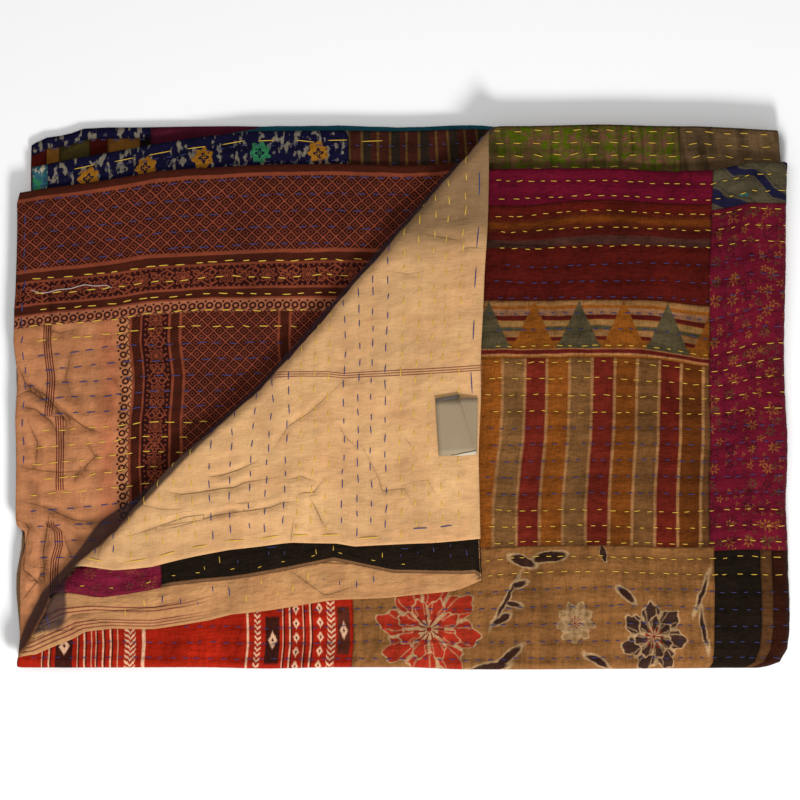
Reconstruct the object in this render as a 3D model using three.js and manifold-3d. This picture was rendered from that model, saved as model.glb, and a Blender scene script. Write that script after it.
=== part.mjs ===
// Quilted patchwork throw, folded twice lengthwise and once across into eight layers,
// with the corner of its three top layers turned back over a slanted fold.
// Millimetres, +Z up. Seen from above, +X is right and +Y is away. Origin: centre of the underside.

import * as THREE from 'three';
import { mergeVertices } from 'three/addons/utils/BufferGeometryUtils.js';
import Module from 'manifold-3d';

const wasm = await Module();
wasm.setup();

// Driving sizes of the cloth and its stack
const SHEET = 2.0;                  // thickness of the quilted cloth
const PITCH = 2.8;                  // height from one layer's middle to the next
const HALF = SHEET / 2;
const UNDERSIDE = PITCH / 2 - HALF; // the lowest face is lowered by this onto z = 0
const MIDDLE = 4 * PITCH;           // height of the axis of the fold across
const BOTTOM_REACH = -222.6;        // y of the near edge of the bundle
const OUTER_BEND = 1.5 * PITCH;     // middle radius of layer 4 around into layer 1
const INNER_BEND = 0.5 * PITCH;     // middle radius of layer 2 around into layer 3
const BOTTOM_AXIS = BOTTOM_REACH + OUTER_BEND + HALF;
const RIGHT_RADIUS = 3.5 * PITCH;   // middle radius of layer 1 around into layer 8

// How far the outermost layer reaches to the right at each y
const RIGHT_REACH = [
  { y: -222.6, x: 290 }, { y: -219, x: 299 }, { y: -213, x: 308 }, { y: -183, x: 317 },
  { y: -159, x: 319 }, { y: -85, x: 316 }, { y: -36, x: 317 }, { y: 38, x: 315 },
  { y: 182, x: 316.5 }, { y: 192, x: 317 }, { y: 219, x: 314.5 },
];

// Left hems, x at each y, from the near fold to the far edge
const LEFT_HEM_1 = [{ y: -219, x: -315 }, { y: -200, x: -312 }, { y: 180, x: -300 }];
const LEFT_HEM_2 = [{ y: -219, x: -281 }, { y: -184, x: -285 }, { y: 177, x: -282 }];
const LEFT_HEM_3 = [{ y: -219, x: -281 }, { y: -165, x: -267 }, { y: 180, x: -259 }];
const LEFT_HEM_4 = [
  { y: -219, x: -315 }, { y: -200, x: -313 }, { y: -150, x: -312 }, { y: -134, x: -311 },
  { y: -122, x: -308 }, { y: -110, x: -308.5 }, { y: -106, x: -315 }, { y: -99, x: -316 },
  { y: -44, x: -316 }, { y: -18, x: -317 }, { y: 17, x: -315 }, { y: 46, x: -318 },
  { y: 74, x: -317 }, { y: 94, x: -315 }, { y: 160, x: -315 }, { y: 170, x: -312 },
];
const LEFT_HEM_5 = [{ y: -219, x: -308 }, { y: 185, x: -302 }];
const LEFT_HEM_6 = [
  { y: -219, x: -311 }, { y: -183, x: -314 }, { y: -159, x: -315.5 }, { y: -145, x: -315 },
  { y: -122, x: -311 }, { y: 185, x: -300 },
];
const LEFT_HEM_7 = [{ y: -219, x: -311 }, { y: 200, x: -303 }];
const LEFT_HEM_8 = [{ y: -219, x: -308 }, { y: 200, x: -303 }];

// Far edges, y at each x: a fold joins layers 1 and 2 and another joins 7 and 8, the rest are hems
const FAR_FOLD_12 = [
  { x: -300, y: 180 }, { x: 73, y: 185.5 }, { x: 196, y: 185 }, { x: 253, y: 185 },
  { x: 270, y: 188 }, { x: 286, y: 192 }, { x: 312, y: 191.5 },
];
const FAR_HEM_3 = [
  { x: -267, y: 187 }, { x: 75, y: 221 }, { x: 163, y: 222.6 }, { x: 245, y: 222 }, { x: 309, y: 218.5 },
];
const FAR_HEM_4 = [
  { x: -315, y: 169 }, { x: -300, y: 172 }, { x: -250, y: 180 }, { x: -207, y: 186.5 },
  { x: -58, y: 190.5 }, { x: 24, y: 190 }, { x: 163, y: 196 }, { x: 312, y: 208 },
];
const FAR_HEM_5 = [
  { x: -303, y: 190 }, { x: -267, y: 198 }, { x: -210, y: 208 }, { x: -165, y: 213.5 },
  { x: -124, y: 217.5 }, { x: 65, y: 218.5 }, { x: 312, y: 208 },
];
const FAR_HEM_6 = [{ x: -303, y: 187 }, { x: -210, y: 203 }, { x: -124, y: 213 }, { x: 312, y: 218.5 }];
const FAR_FOLD_78 = [
  { x: -304, y: 208 }, { x: -297, y: 213 }, { x: -275, y: 216.5 }, { x: -262, y: 221.5 },
  { x: -240, y: 222.6 }, { x: 65, y: 222 }, { x: 204, y: 210 }, { x: 312, y: 191.5 },
];

// The four quarters of the cloth's length in the order of the cloth. height: middle of the
// quarter's layer above the fold across. front: +1 where the patchwork side faces away from that fold.
const QUARTERS = [
  { height: 0.5 * PITCH, front: -1, upper: [LEFT_HEM_4, FAR_HEM_4], lower: [LEFT_HEM_5, FAR_HEM_5] },
  { height: 3.5 * PITCH, front: 1, upper: [LEFT_HEM_1, FAR_FOLD_12], lower: [LEFT_HEM_8, FAR_FOLD_78] },
  { height: 2.5 * PITCH, front: -1, upper: [LEFT_HEM_2, FAR_FOLD_12], lower: [LEFT_HEM_7, FAR_FOLD_78] },
  { height: 1.5 * PITCH, front: 1, upper: [LEFT_HEM_3, FAR_HEM_3], lower: [LEFT_HEM_6, FAR_HEM_6] },
];
const FOLDED_FAR_EDGE = [false, true, true, false];

// Stations of the facets
const COLUMN_STATIONS = [0, 0.02, 0.06, 0.1, 0.17, 0.25, 0.31, 0.6, 0.8, 0.9, 0.93, 0.96, 1];
const ROW_STATIONS = [0, 0.012, 0.085, 0.2, 0.45, 0.7, 0.93, 1];
const RIGHT_BEND_FACETS = 8;
const OUTER_BEND_FACETS = 6;
const INNER_BEND_FACETS = 4;

// The slanted fold of the turned-back corner, from its near left end to its far right end
const SLANT_START = new THREE.Vector2(-310.8, -201.3);
const SLANT_END = new THREE.Vector2(75.4, 221);
const SLANT_OUTER = 2.5 * PITCH;    // middle radius of layer 3, the outermost of the turned corner
const SLANT_AXIS_HEIGHT = 8 * PITCH;
const SLANT_REACH = SLANT_OUTER + HALF;
const SLANT_FACETS = 8;
const SLANT_FADE = 120;             // the fold's bow dies out this far into the flap
// How far the fold bows towards the far left, at each distance along it
const SLANT_BOW = [
  { s: -20, bow: 0 }, { s: 0, bow: 0 }, { s: 28, bow: 7.5 }, { s: 42, bow: 12 }, { s: 60, bow: 12.5 },
  { s: 93, bow: 7.5 }, { s: 118, bow: 4 }, { s: 204, bow: 2.5 }, { s: 247, bow: -1 }, { s: 286, bow: -4.5 },
  { s: 430, bow: -2 }, { s: 572, bow: 0 },
];

// Edges of the turned-back flap as it lies, each from the slanted fold to the flap's corner
const FLAP_3_RIGHT = [
  { x: 73, y: 202 }, { x: 71, y: 157 }, { x: 68, y: 79 }, { x: 65, y: 26 }, { x: 64, y: -48 },
  { x: 64.8, y: -116 },
];
const FLAP_3_NEAR = [
  { x: -276, y: -154 }, { x: -235, y: -142 }, { x: -188, y: -136 }, { x: -140, y: -126 },
  { x: -89, y: -119.5 }, { x: -52, y: -120 }, { x: -38, y: -122.5 }, { x: 16, y: -120 },
  { x: 64, y: -116 },
];
const FLAP_2_NEAR = [
  { x: -297, y: -176 }, { x: -247, y: -165 }, { x: -188, y: -155 }, { x: -140, y: -150 },
  { x: -83, y: -140 }, { x: -54, y: -134 }, { x: -7, y: -144.5 }, { x: 64, y: -145 },
];
const FLAP_1_NEAR = [
  { x: -309, y: -200.5 }, { x: -266, y: -198 }, { x: -203, y: -190.5 }, { x: -140, y: -178 },
  { x: -58, y: -167 }, { x: -10, y: -165 }, { x: 45, y: -159 }, { x: 64.8, y: -151 },
];
const FLAP_12_FOLD = [{ x: 42, y: 175 }, { x: 64, y: -100 }, { x: 64.8, y: -149 }];
// Where each turned layer's edges cross the start of the fold, as distances along the fold
const FOLD_START = { near1: 0, near2: 43, near3: 67, fold12: 530.8, far3: 580 };
const CORNER_ROUNDING = 5;          // the flap's corners stop this short of their points
const FLAP_ROWS = 9;                // facets of the flap from the fold to its corner
const FLAP_COLUMNS = 8;             // facets of layer 3 across the flap
const DOUBLE_COLUMNS = 6;           // facets of layers 1 and 2 each
const PRISM_RUN = 60;               // the corner's prism goes this far past the fold's ends
const PRISM_FAR = 700;              // and this far towards the far left, clear of the cloth
const OVERLAP = 8;                  // the turned corner runs this far into the stack,
const OVERLAP_INSET = 0.12;         // is this much thinner on each side
const NEAR_SLOPE = 0.4;             // run of the near edges along the fold on the way into the stack
const OVERLAP_SIDE = 0.4;           // and this much narrower at each end, so no faces coincide

// The blank tag sewn into the flap's right hem, its outlines as corners x, y
const TAG_CLEARANCE = 0.3;
const TAG_THICKNESS = 0.8;
const TAG_OUTLINE = [[28, -4.5], [47, -1], [62, -4], [62.5, -47.5], [31, -49]];
const TAG_TURN = [[28.5, -5], [46, -2.5], [60.5, -44], [58, -47], [31.5, -48]];

// Straight-line reading of a table's column at a value of its other column.
function read(table, from, to, value) {
  const last = table.length - 1;
  const rising = table[last][from] > table[0][from];
  const key = (row) => (rising ? row[from] : -row[from]);
  const at = rising ? value : -value;
  if (at <= key(table[0])) {
    return table[0][to];
  }
  for (let i = 0; i < last; i += 1) {
    if (at <= key(table[i + 1])) {
      const share = (at - key(table[i])) / (key(table[i + 1]) - key(table[i]));
      return THREE.MathUtils.lerp(table[i][to], table[i + 1][to], share);
    }
  }
  return table[last][to];
}

// Closed slab whose point (row, column, side) comes from place, side +1 being the patchwork face.
function slab(rowCount, columnCount, place) {
  const positions = [];
  for (const side of [1, -1]) {
    for (let i = 0; i < rowCount; i += 1) {
      for (let j = 0; j < columnCount; j += 1) {
        positions.push(...place(i, j, side).toArray());
      }
    }
  }
  const at = (i, j, side) => (side > 0 ? 0 : rowCount * columnCount) + i * columnCount + j;
  const indices = [];
  const quad = (a, b, c, d) => indices.push(a, b, c, a, c, d);
  for (let i = 0; i < rowCount - 1; i += 1) {
    for (let j = 0; j < columnCount - 1; j += 1) {
      quad(at(i, j, 1), at(i, j + 1, 1), at(i + 1, j + 1, 1), at(i + 1, j, 1));
      quad(at(i, j, -1), at(i + 1, j, -1), at(i + 1, j + 1, -1), at(i, j + 1, -1));
    }
    quad(at(i, 0, 1), at(i + 1, 0, 1), at(i + 1, 0, -1), at(i, 0, -1));
    const k = columnCount - 1;
    quad(at(i, k, 1), at(i, k, -1), at(i + 1, k, -1), at(i + 1, k, 1));
  }
  for (let j = 0; j < columnCount - 1; j += 1) {
    quad(at(0, j, 1), at(0, j, -1), at(0, j + 1, -1), at(0, j + 1, 1));
    const k = rowCount - 1;
    quad(at(k, j, 1), at(k, j + 1, 1), at(k, j + 1, -1), at(k, j, -1));
  }
  const geometry = new THREE.BufferGeometry();
  geometry.setAttribute('position', new THREE.Float32BufferAttribute(positions, 3));
  geometry.setIndex(indices);
  return geometry;
}

// Rows along the cloth's length: flat quarters joined by a near, a far and a near bend.
function clothRows() {
  const flat = (quarter, stations) => stations.map((share) => ({ quarter, share, turn: 0 }));
  const bend = (quarter, facets) => {
    const rows = [];
    for (let i = 1; i < facets; i += 1) {
      rows.push({ quarter, turn: (Math.PI * i) / facets });
    }
    return rows;
  };
  const farEnd = read(FAR_HEM_4, 'x', 'y', LEFT_HEM_4[0].x);
  const hemStations = LEFT_HEM_4.map(({ y }) => (y - BOTTOM_AXIS) / (farEnd - BOTTOM_AXIS));
  const firstStations = [0, ...hemStations.filter((share) => share > 0.01 && share < 0.99), 1];
  const backwards = [...ROW_STATIONS].reverse();
  return [
    ...flat(0, [...firstStations].reverse()),
    ...bend(0, OUTER_BEND_FACETS),
    ...flat(1, ROW_STATIONS),
    ...bend(1, INNER_BEND_FACETS),
    ...flat(2, backwards),
    ...bend(2, INNER_BEND_FACETS),
    ...flat(3, ROW_STATIONS),
  ];
}

// Columns across the cloth's width: the upper half, the bend at the right, the lower half.
function clothColumns() {
  const upper = COLUMN_STATIONS.map((share) => ({ share, turn: 0 }));
  const lower = [...COLUMN_STATIONS].reverse().map((share) => ({ share, turn: Math.PI }));
  const around = [];
  for (let i = 1; i < RIGHT_BEND_FACETS; i += 1) {
    around.push({ share: 1, turn: (Math.PI * i) / RIGHT_BEND_FACETS });
  }
  return [...upper, ...around, ...lower];
}

// Edge tables of a quarter read for a column, blended from upper to lower half around the right bend.
function blended(quarter, column, which, from, to, value) {
  const upper = read(QUARTERS[quarter].upper[which], from, to, value);
  const lower = read(QUARTERS[quarter].lower[which], from, to, value);
  return THREE.MathUtils.lerp(upper, lower, column.turn / Math.PI);
}

// Far end of a quarter's middle at x, a bend's radius inside the edge where the far edge is a fold.
function farEnd(quarter, column, x) {
  const reach = blended(quarter, column, 1, 'x', 'y', x);
  return FOLDED_FAR_EDGE[quarter] ? reach - INNER_BEND - HALF : reach;
}

// Section across the layers: y, height above the fold across, and the way the patchwork side faces.
function section(row, column, x) {
  const { quarter, turn } = row;
  const { height, front } = QUARTERS[quarter];
  const sin = Math.sin(turn);
  const cos = Math.cos(turn);
  if (turn === 0) {
    const far = farEnd(quarter, column, x);
    return { y: THREE.MathUtils.lerp(BOTTOM_AXIS, far, row.share), height, ny: 0, nh: front };
  }
  if (quarter === 0) {
    const y = BOTTOM_AXIS - OUTER_BEND * sin;
    return { y, height: 2 * PITCH - OUTER_BEND * cos, ny: -sin, nh: -cos };
  }
  if (quarter === 1) {
    const y = farEnd(1, column, x) + INNER_BEND * sin;
    return { y, height: 3 * PITCH + INNER_BEND * cos, ny: sin, nh: cos };
  }
  return { y: BOTTOM_AXIS - INNER_BEND * sin, height: 2 * PITCH + INNER_BEND * cos, ny: sin, nh: -cos };
}

// x of the axis of the fold across at y.
function rightAxis(y) {
  return read(RIGHT_REACH, 'y', 'x', y) - RIGHT_RADIUS - HALF;
}

// Point of the folded cloth at a row, a column and a side.
function foldedPoint(row, column, side) {
  const roughLeft = blended(row.quarter, column, 0, 'y', 'x', 0);
  const roughX = THREE.MathUtils.lerp(roughLeft, rightAxis(0), column.share);
  const middle = section(row, column, roughX);
  const y = middle.y + side * HALF * middle.ny;
  const radius = middle.height + side * HALF * middle.nh;
  const next = Math.min(row.quarter + 1, QUARTERS.length - 1);
  const left = THREE.MathUtils.lerp(
    blended(row.quarter, column, 0, 'y', 'x', middle.y),
    blended(next, column, 0, 'y', 'x', middle.y),
    row.turn / Math.PI,
  );
  const axis = rightAxis(middle.y);
  const x = THREE.MathUtils.lerp(left, axis, column.share) + radius * Math.sin(column.turn);
  return new THREE.Vector3(x, y, MIDDLE + radius * Math.cos(column.turn) - UNDERSIDE);
}

// The eight layers, before the corner is turned.
function foldedStack() {
  const rows = clothRows();
  const columns = clothColumns();
  return slab(rows.length, columns.length, (i, j, side) => foldedPoint(rows[i], columns[j], side));
}

// Directions along the slanted fold and from it towards the far left.
const ALONG = SLANT_END.clone().sub(SLANT_START).normalize();
const ACROSS = new THREE.Vector2(-ALONG.y, ALONG.x);

// Point at a distance along the fold, one across it and a height above the stack's fold across.
function slantPoint(along, across, height) {
  const place = SLANT_START.clone().addScaledVector(ALONG, along).addScaledVector(ACROSS, across);
  return new THREE.Vector3(place.x, place.y, height - UNDERSIDE);
}

// The same distances of a point, the one across counted from the fold's axis into the flap.
function slantTable(edge) {
  return edge.map(({ x, y }) => {
    const offset = new THREE.Vector2(x, y).sub(SLANT_START);
    return { s: offset.dot(ALONG), depth: Math.max(0, -offset.dot(ACROSS) - SLANT_REACH) };
  });
}

// Rows of a turned corner: a short run on the stack, the bend, then the flap out to its corner.
function cornerRows(depth) {
  const rows = [{ turn: 0, depth: -OVERLAP }];
  for (let i = 0; i <= SLANT_FACETS; i += 1) {
    rows.push({ turn: (Math.PI * i) / SLANT_FACETS, depth: 0 });
  }
  for (let i = 1; i <= FLAP_ROWS; i += 1) {
    rows.push({ turn: Math.PI, depth: (depth * i) / FLAP_ROWS });
  }
  return rows;
}

// Distance along the fold of a flap's edge in a row, moving evenly round the bend. end is +1 for
// the far edge, which runs on level into the stack, and -1 for the near one.
function edgeAlong(start, table, row, end) {
  if (row.depth < 0) {
    const slope = end > 0 ? ALONG.x / ALONG.y : NEAR_SLOPE;
    return start + end * (slope * OVERLAP - OVERLAP_SIDE);
  }
  const landed = read(table, 'depth', 's', row.depth);
  return THREE.MathUtils.lerp(start, landed, row.turn / Math.PI);
}

// Turned-over place of a point whose middle lies at radius from the slanted fold's axis.
function turnedPoint(row, along, radius) {
  const fade = Math.max(0, 1 - Math.max(0, row.depth) / SLANT_FADE);
  const axis = read(SLANT_BOW, 's', 'bow', along) * fade - SLANT_REACH;
  if (row.depth < 0) {
    return slantPoint(along, axis + row.depth, SLANT_AXIS_HEIGHT - radius);
  }
  const across = axis - row.depth + radius * Math.sin(row.turn);
  return slantPoint(along, across, SLANT_AXIS_HEIGHT - radius * Math.cos(row.turn));
}

// Turned corner of layer 3 alone, the top of the flap.
function turnedLayer3() {
  const right = slantTable(FLAP_3_RIGHT);
  const near = slantTable(FLAP_3_NEAR);
  const rows = cornerRows(right[right.length - 1].depth - CORNER_ROUNDING);
  return slab(rows.length, FLAP_COLUMNS + 1, (i, j, side) => {
    const from = edgeAlong(FOLD_START.near3, near, rows[i], -1);
    const to = edgeAlong(FOLD_START.far3, right, rows[i], 1);
    const along = THREE.MathUtils.lerp(from, to, j / FLAP_COLUMNS);
    return turnedPoint(rows[i], along, SLANT_OUTER - side * (HALF - OVERLAP_INSET));
  });
}

// Columns of layers 1 and 2 in the turned corner: in from the near edge, round their far fold, back.
function doubleColumns() {
  const columns = [];
  for (let j = 0; j <= DOUBLE_COLUMNS; j += 1) {
    columns.push({ layer: 1, share: j / DOUBLE_COLUMNS, turn: 0 });
  }
  for (let j = 1; j < INNER_BEND_FACETS; j += 1) {
    columns.push({ layer: 1, share: 1, turn: (Math.PI * j) / INNER_BEND_FACETS });
  }
  for (let j = DOUBLE_COLUMNS; j >= 0; j -= 1) {
    columns.push({ layer: 2, share: j / DOUBLE_COLUMNS, turn: Math.PI });
  }
  return columns;
}

// Turned corner of layers 1 and 2 with the fold that joins them.
function turnedLayers12() {
  const fold = slantTable(FLAP_12_FOLD);
  const near = { 1: slantTable(FLAP_1_NEAR), 2: slantTable(FLAP_2_NEAR) };
  const start = { 1: FOLD_START.near1, 2: FOLD_START.near2 };
  const rows = cornerRows(fold[fold.length - 1].depth - CORNER_ROUNDING);
  const columns = doubleColumns();
  return slab(rows.length, columns.length, (i, j, side) => {
    const { layer, share, turn } = columns[j];
    const thick = side * (HALF - OVERLAP_INSET);
    const from = edgeAlong(start[layer], near[layer], rows[i], -1);
    const to = edgeAlong(FOLD_START.fold12, fold, rows[i], 1) - INNER_BEND - HALF;
    const bulge = (INNER_BEND + thick) * Math.sin(turn);
    const along = THREE.MathUtils.lerp(from, to, share) + bulge;
    return turnedPoint(rows[i], along, PITCH - (INNER_BEND + thick) * Math.cos(turn));
  });
}

// Prism over the corner that leaves the stack: beyond the fold's axis, above layer 4.
function cornerPrism() {
  const cut = -SLANT_REACH - OVERLAP / 2;
  const outline = SLANT_BOW.map(({ s, bow }) => slantPoint(s, bow + cut, 0));
  const end = SLANT_END.distanceTo(SLANT_START) + PRISM_RUN;
  const corners = [slantPoint(end, PRISM_FAR, 0), slantPoint(-PRISM_RUN, PRISM_FAR, 0)];
  const path = [slantPoint(-PRISM_RUN, cut, 0), ...outline, slantPoint(end, cut, 0), ...corners];
  const shape = new THREE.Shape(path.map(({ x, y }) => new THREE.Vector2(x, y)));
  const prism = new THREE.ExtrudeGeometry(shape, { depth: 5 * PITCH, bevelEnabled: false });
  return prism.translate(0, 0, MIDDLE + PITCH - UNDERSIDE);
}

// A three.js geometry as a manifold solid.
function toSolid(geometry) {
  geometry.deleteAttribute('normal');
  geometry.deleteAttribute('uv');
  const merged = mergeVertices(geometry, 1e-4);
  return new wasm.Manifold(new wasm.Mesh({
    numProp: 3,
    vertProperties: new Float32Array(merged.attributes.position.array),
    triVerts: new Uint32Array(merged.index.array),
  }));
}

// A manifold solid back as a geometry.
function toGeometry(solid) {
  const { vertProperties, triVerts } = solid.getMesh();
  const geometry = new THREE.BufferGeometry();
  geometry.setAttribute('position', new THREE.BufferAttribute(vertProperties, 3));
  geometry.setIndex(new THREE.BufferAttribute(triVerts, 1));
  geometry.computeVertexNormals();
  return geometry;
}

// The whole cloth: the stack less its corner, with the turned corner joined on.
function throwGeometry() {
  const stack = toSolid(foldedStack()).subtract(toSolid(cornerPrism()));
  return toGeometry(stack.add(toSolid(turnedLayer3())).add(toSolid(turnedLayers12())));
}

// Flat piece of tag from its outline.
function tagPiece(outline, thickness) {
  const shape = new THREE.Shape(outline.map(([x, y]) => new THREE.Vector2(x, y)));
  return new THREE.ExtrudeGeometry(shape, { depth: thickness, bevelEnabled: false });
}

// The tag: a doubled satin strip, its loose end turned over on a slant.
function tagGeometry() {
  const base = SLANT_AXIS_HEIGHT + SLANT_OUTER + HALF - UNDERSIDE + TAG_CLEARANCE;
  const under = toSolid(tagPiece(TAG_OUTLINE, TAG_THICKNESS).translate(0, 0, base));
  const over = toSolid(tagPiece(TAG_TURN, TAG_THICKNESS).translate(0, 0, base + TAG_THICKNESS / 2));
  return toGeometry(under.add(over));
}

// A named piece with its colour.
function piece(name, geometry, color, roughness) {
  const material = new THREE.MeshStandardMaterial({ color, roughness, metalness: 0 });
  const mesh = new THREE.Mesh(geometry, material);
  mesh.name = name;
  return mesh;
}

const quiltedThrow = new THREE.Group();
quiltedThrow.add(piece('throw', throwGeometry(), 0x8a5a3c, 0.9));
quiltedThrow.add(piece('label', tagGeometry(), 0x9a9686, 0.5));

export default quiltedThrow;
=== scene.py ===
"""Looks of a hand-stitched quilted patchwork throw, folded into eight layers.

The cloth is worked out on its flat coordinates: u runs across its width and v along its length, in
millimetres, and w is the height of a point off the middle of the cloth towards the patchwork side.
One mapping folds any such point to where it lies, so the two faces, the stitches and the tag all
follow the same folds. Lengths are in millimetres until a mesh is written, in metres.
"""

import logging
import math
from dataclasses import dataclass
from enum import Enum

import bpy
import numpy as np
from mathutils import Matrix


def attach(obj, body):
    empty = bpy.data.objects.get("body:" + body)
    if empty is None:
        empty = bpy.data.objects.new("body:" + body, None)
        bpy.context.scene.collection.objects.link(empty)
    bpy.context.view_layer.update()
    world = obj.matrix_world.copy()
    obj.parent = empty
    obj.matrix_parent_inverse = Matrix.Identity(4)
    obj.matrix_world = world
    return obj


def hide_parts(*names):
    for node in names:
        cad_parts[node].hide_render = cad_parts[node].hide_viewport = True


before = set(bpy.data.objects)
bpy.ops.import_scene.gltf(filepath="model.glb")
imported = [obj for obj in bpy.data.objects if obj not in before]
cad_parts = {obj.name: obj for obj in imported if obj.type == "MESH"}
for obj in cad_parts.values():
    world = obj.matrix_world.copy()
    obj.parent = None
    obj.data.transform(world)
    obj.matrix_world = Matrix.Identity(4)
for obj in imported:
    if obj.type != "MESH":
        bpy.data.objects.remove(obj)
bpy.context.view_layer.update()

LOG = logging.getLogger("throw")
MM = 0.001
PER_METRE = 1000
FLOOR = -0.4
# Cloth and thread are kept this far over the floor
CLEARANCE = 0.1
# Stands in the mesh's numbers for any distance too great to matter
FAR_OFF = 9.0
# Least exposure of a stitch that is built
SEEN = 0.05
Array = np.ndarray


class Side(Enum):
    """Which face of the cloth, as the sign of its height off the middle."""

    PATCHWORK = 1
    LINING = -1


@dataclass(frozen=True)
class Line:
    """An edge as it lies, or any smooth run of values: reach at each value of along."""

    along: tuple[float, ...]
    reach: tuple[float, ...]

    def at(self, value: Array) -> Array:
        """Straight-line reading of the reach at a value."""
        return np.interp(value, self.along, self.reach)

    def points(self) -> tuple[tuple[float, float], ...]:
        """The line's points as pairs."""
        return tuple(zip(self.along, self.reach))


# Edges of the stack's layers: x against y at the sides, y against x at the far side
RIGHT_REACH = Line(
    along=(-222.6, -220.5, -217.4, -206.5, -189.4, -159, -85, -36, 38, 182, 192, 219),
    reach=(293, 302, 310.5, 316, 318, 319, 316, 317, 315, 316.5, 317, 314.5),
)
LEFT_HEM_4 = Line(
    along=(-219, -200, -150, -134, -122, -110, -106, -99, -44, -18, 17, 46, 74, 94, 160, 170),
    reach=(-315, -313, -312, -311, -308, -308.5, -315, -316, -316, -317, -315, -318, -317,
           -315, -315, -312),
)
LEFT_HEM_5 = Line(along=(-219, 185), reach=(-308, -302))
LEFT_HEM_6 = Line(along=(-219, -183, -159, -145, -122, 185), reach=(-311, -314, -315.5, -315, -311, -300))
LEFT_HEM_7 = Line(along=(-219, 200), reach=(-311, -303))
LEFT_HEM_8 = Line(along=(-219, 200), reach=(-308, -303))
FAR_FOLD_12 = Line(along=(73, 196, 253, 270, 286, 312), reach=(185.5, 185, 185, 188, 192, 191.5))
FAR_HEM_3 = Line(along=(75, 163, 245, 309), reach=(221, 222.6, 222, 218.5))
FAR_HEM_4 = Line(
    along=(-315, -300, -250, -207, -58, 24, 163, 312), reach=(169, 172, 180, 186.5, 190.5, 190, 196, 208)
)
FAR_HEM_5 = Line(
    along=(-303, -267, -210, -165, -124, 65, 312), reach=(190, 198, 208, 213.5, 217.5, 218.5, 208)
)
FAR_HEM_6 = Line(along=(-303, -210, -124, 312), reach=(187, 203, 213, 218.5))
FAR_FOLD_78 = Line(
    along=(-304, -297, -275, -262, -240, 65, 204, 312),
    reach=(208, 213, 216.5, 221.5, 222.6, 222, 210, 191.5),
)
SLANT_BOW = Line(
    along=(-20, 0, 28, 42, 60, 93, 118, 204, 247, 286, 430, 572),
    reach=(0, 0, 7.5, 12, 12.5, 7.5, 4, 2.5, -1, -4.5, -2, 0),
)
# Width of the shaded side of the slanted fold that shows beyond its edge
SHADE_WIDTH = Line(
    along=(-20, 0, 14, 28, 50, 64, 80, 93, 108, 118, 132, 147, 180, 300, 560),
    reach=(0, 2, 4, 4, 3, 3.5, 6, 9.5, 13.5, 15, 12, 7.5, 4, 3, 2.5),
)
# Edges of the turned-back flap as it lies, as x against y for its right side and y against x below
FLAP_RIGHT_3 = Line(along=(-116, -48, 26, 79, 157, 202), reach=(64.8, 64, 65, 68, 71, 73))
FLAP_FOLD_12 = Line(along=(-149, -100, 175), reach=(64.8, 64, 42))
FLAP_NEAR_3 = Line(
    along=(-276, -235, -188, -140, -89, -52, -38, 16, 64),
    reach=(-154, -142, -136, -126, -119.5, -120, -122.5, -120, -116),
)
FLAP_NEAR_2 = Line(
    along=(-297, -247, -188, -140, -83, -54, -7, 64),
    reach=(-176, -165, -155, -150, -140, -134, -144.5, -145),
)
FLAP_NEAR_1 = Line(
    along=(-309, -266, -203, -140, -58, -10, 45, 64.8),
    reach=(-200.5, -198, -190.5, -178, -167, -165, -159, -151),
)


def soft_step(value: Array, width: float) -> Array:
    """Rises from 0 to 1 over a width above zero, level at both ends."""
    t = np.clip(value / width, 0, 1)
    return t * t * (3 - 2 * t)


def rumple(a: Array, b: Array, size_a: float, size_b: float, seed: int) -> Array:
    """Smooth random surface between -1 and 1.

    Random heights on a lattice of size_a by size_b, joined by smooth steps in both directions.

    Args:
        a, b: where it is read.
        size_a, size_b: the lattice's spacing along each.
        seed: which random lattice.

    Returns:
        The height at each place.
    """
    heights = np.random.default_rng(seed).uniform(-1, 1, (64, 64))
    p, q = np.asarray(a) / size_a, np.asarray(b) / size_b
    i, j = np.floor(p).astype(int), np.floor(q).astype(int)
    f, g = soft_step(p - i, 1), soft_step(q - j, 1)
    i0, i1, j0, j1 = i % 64, (i + 1) % 64, j % 64, (j + 1) % 64
    near = heights[i0, j0] * (1 - f) + heights[i1, j0] * f
    far = heights[i0, j1] * (1 - f) + heights[i1, j1] * f
    return near * (1 - g) + far * g


@dataclass(frozen=True)
class Drift:
    """A place where the cloth is pushed sideways in its own plane, dying away all round."""

    x: float
    y: float
    spread_x: float
    spread_y: float
    dx: float
    dy: float


DRIFTS = (
    Drift(x=165, y=140, spread_x=48, spread_y=30, dx=0, dy=5),
    Drift(x=95, y=150, spread_x=35, spread_y=16, dx=0, dy=-2.5),
    Drift(x=255, y=50, spread_x=34, spread_y=46, dx=0, dy=-8),
    Drift(x=150, y=-150, spread_x=90, spread_y=30, dx=0, dy=4),
    Drift(x=-240, y=120, spread_x=60, spread_y=80, dx=0, dy=-4),
    Drift(x=-205, y=-60, spread_x=45, spread_y=60, dx=-3, dy=3),
)


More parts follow.
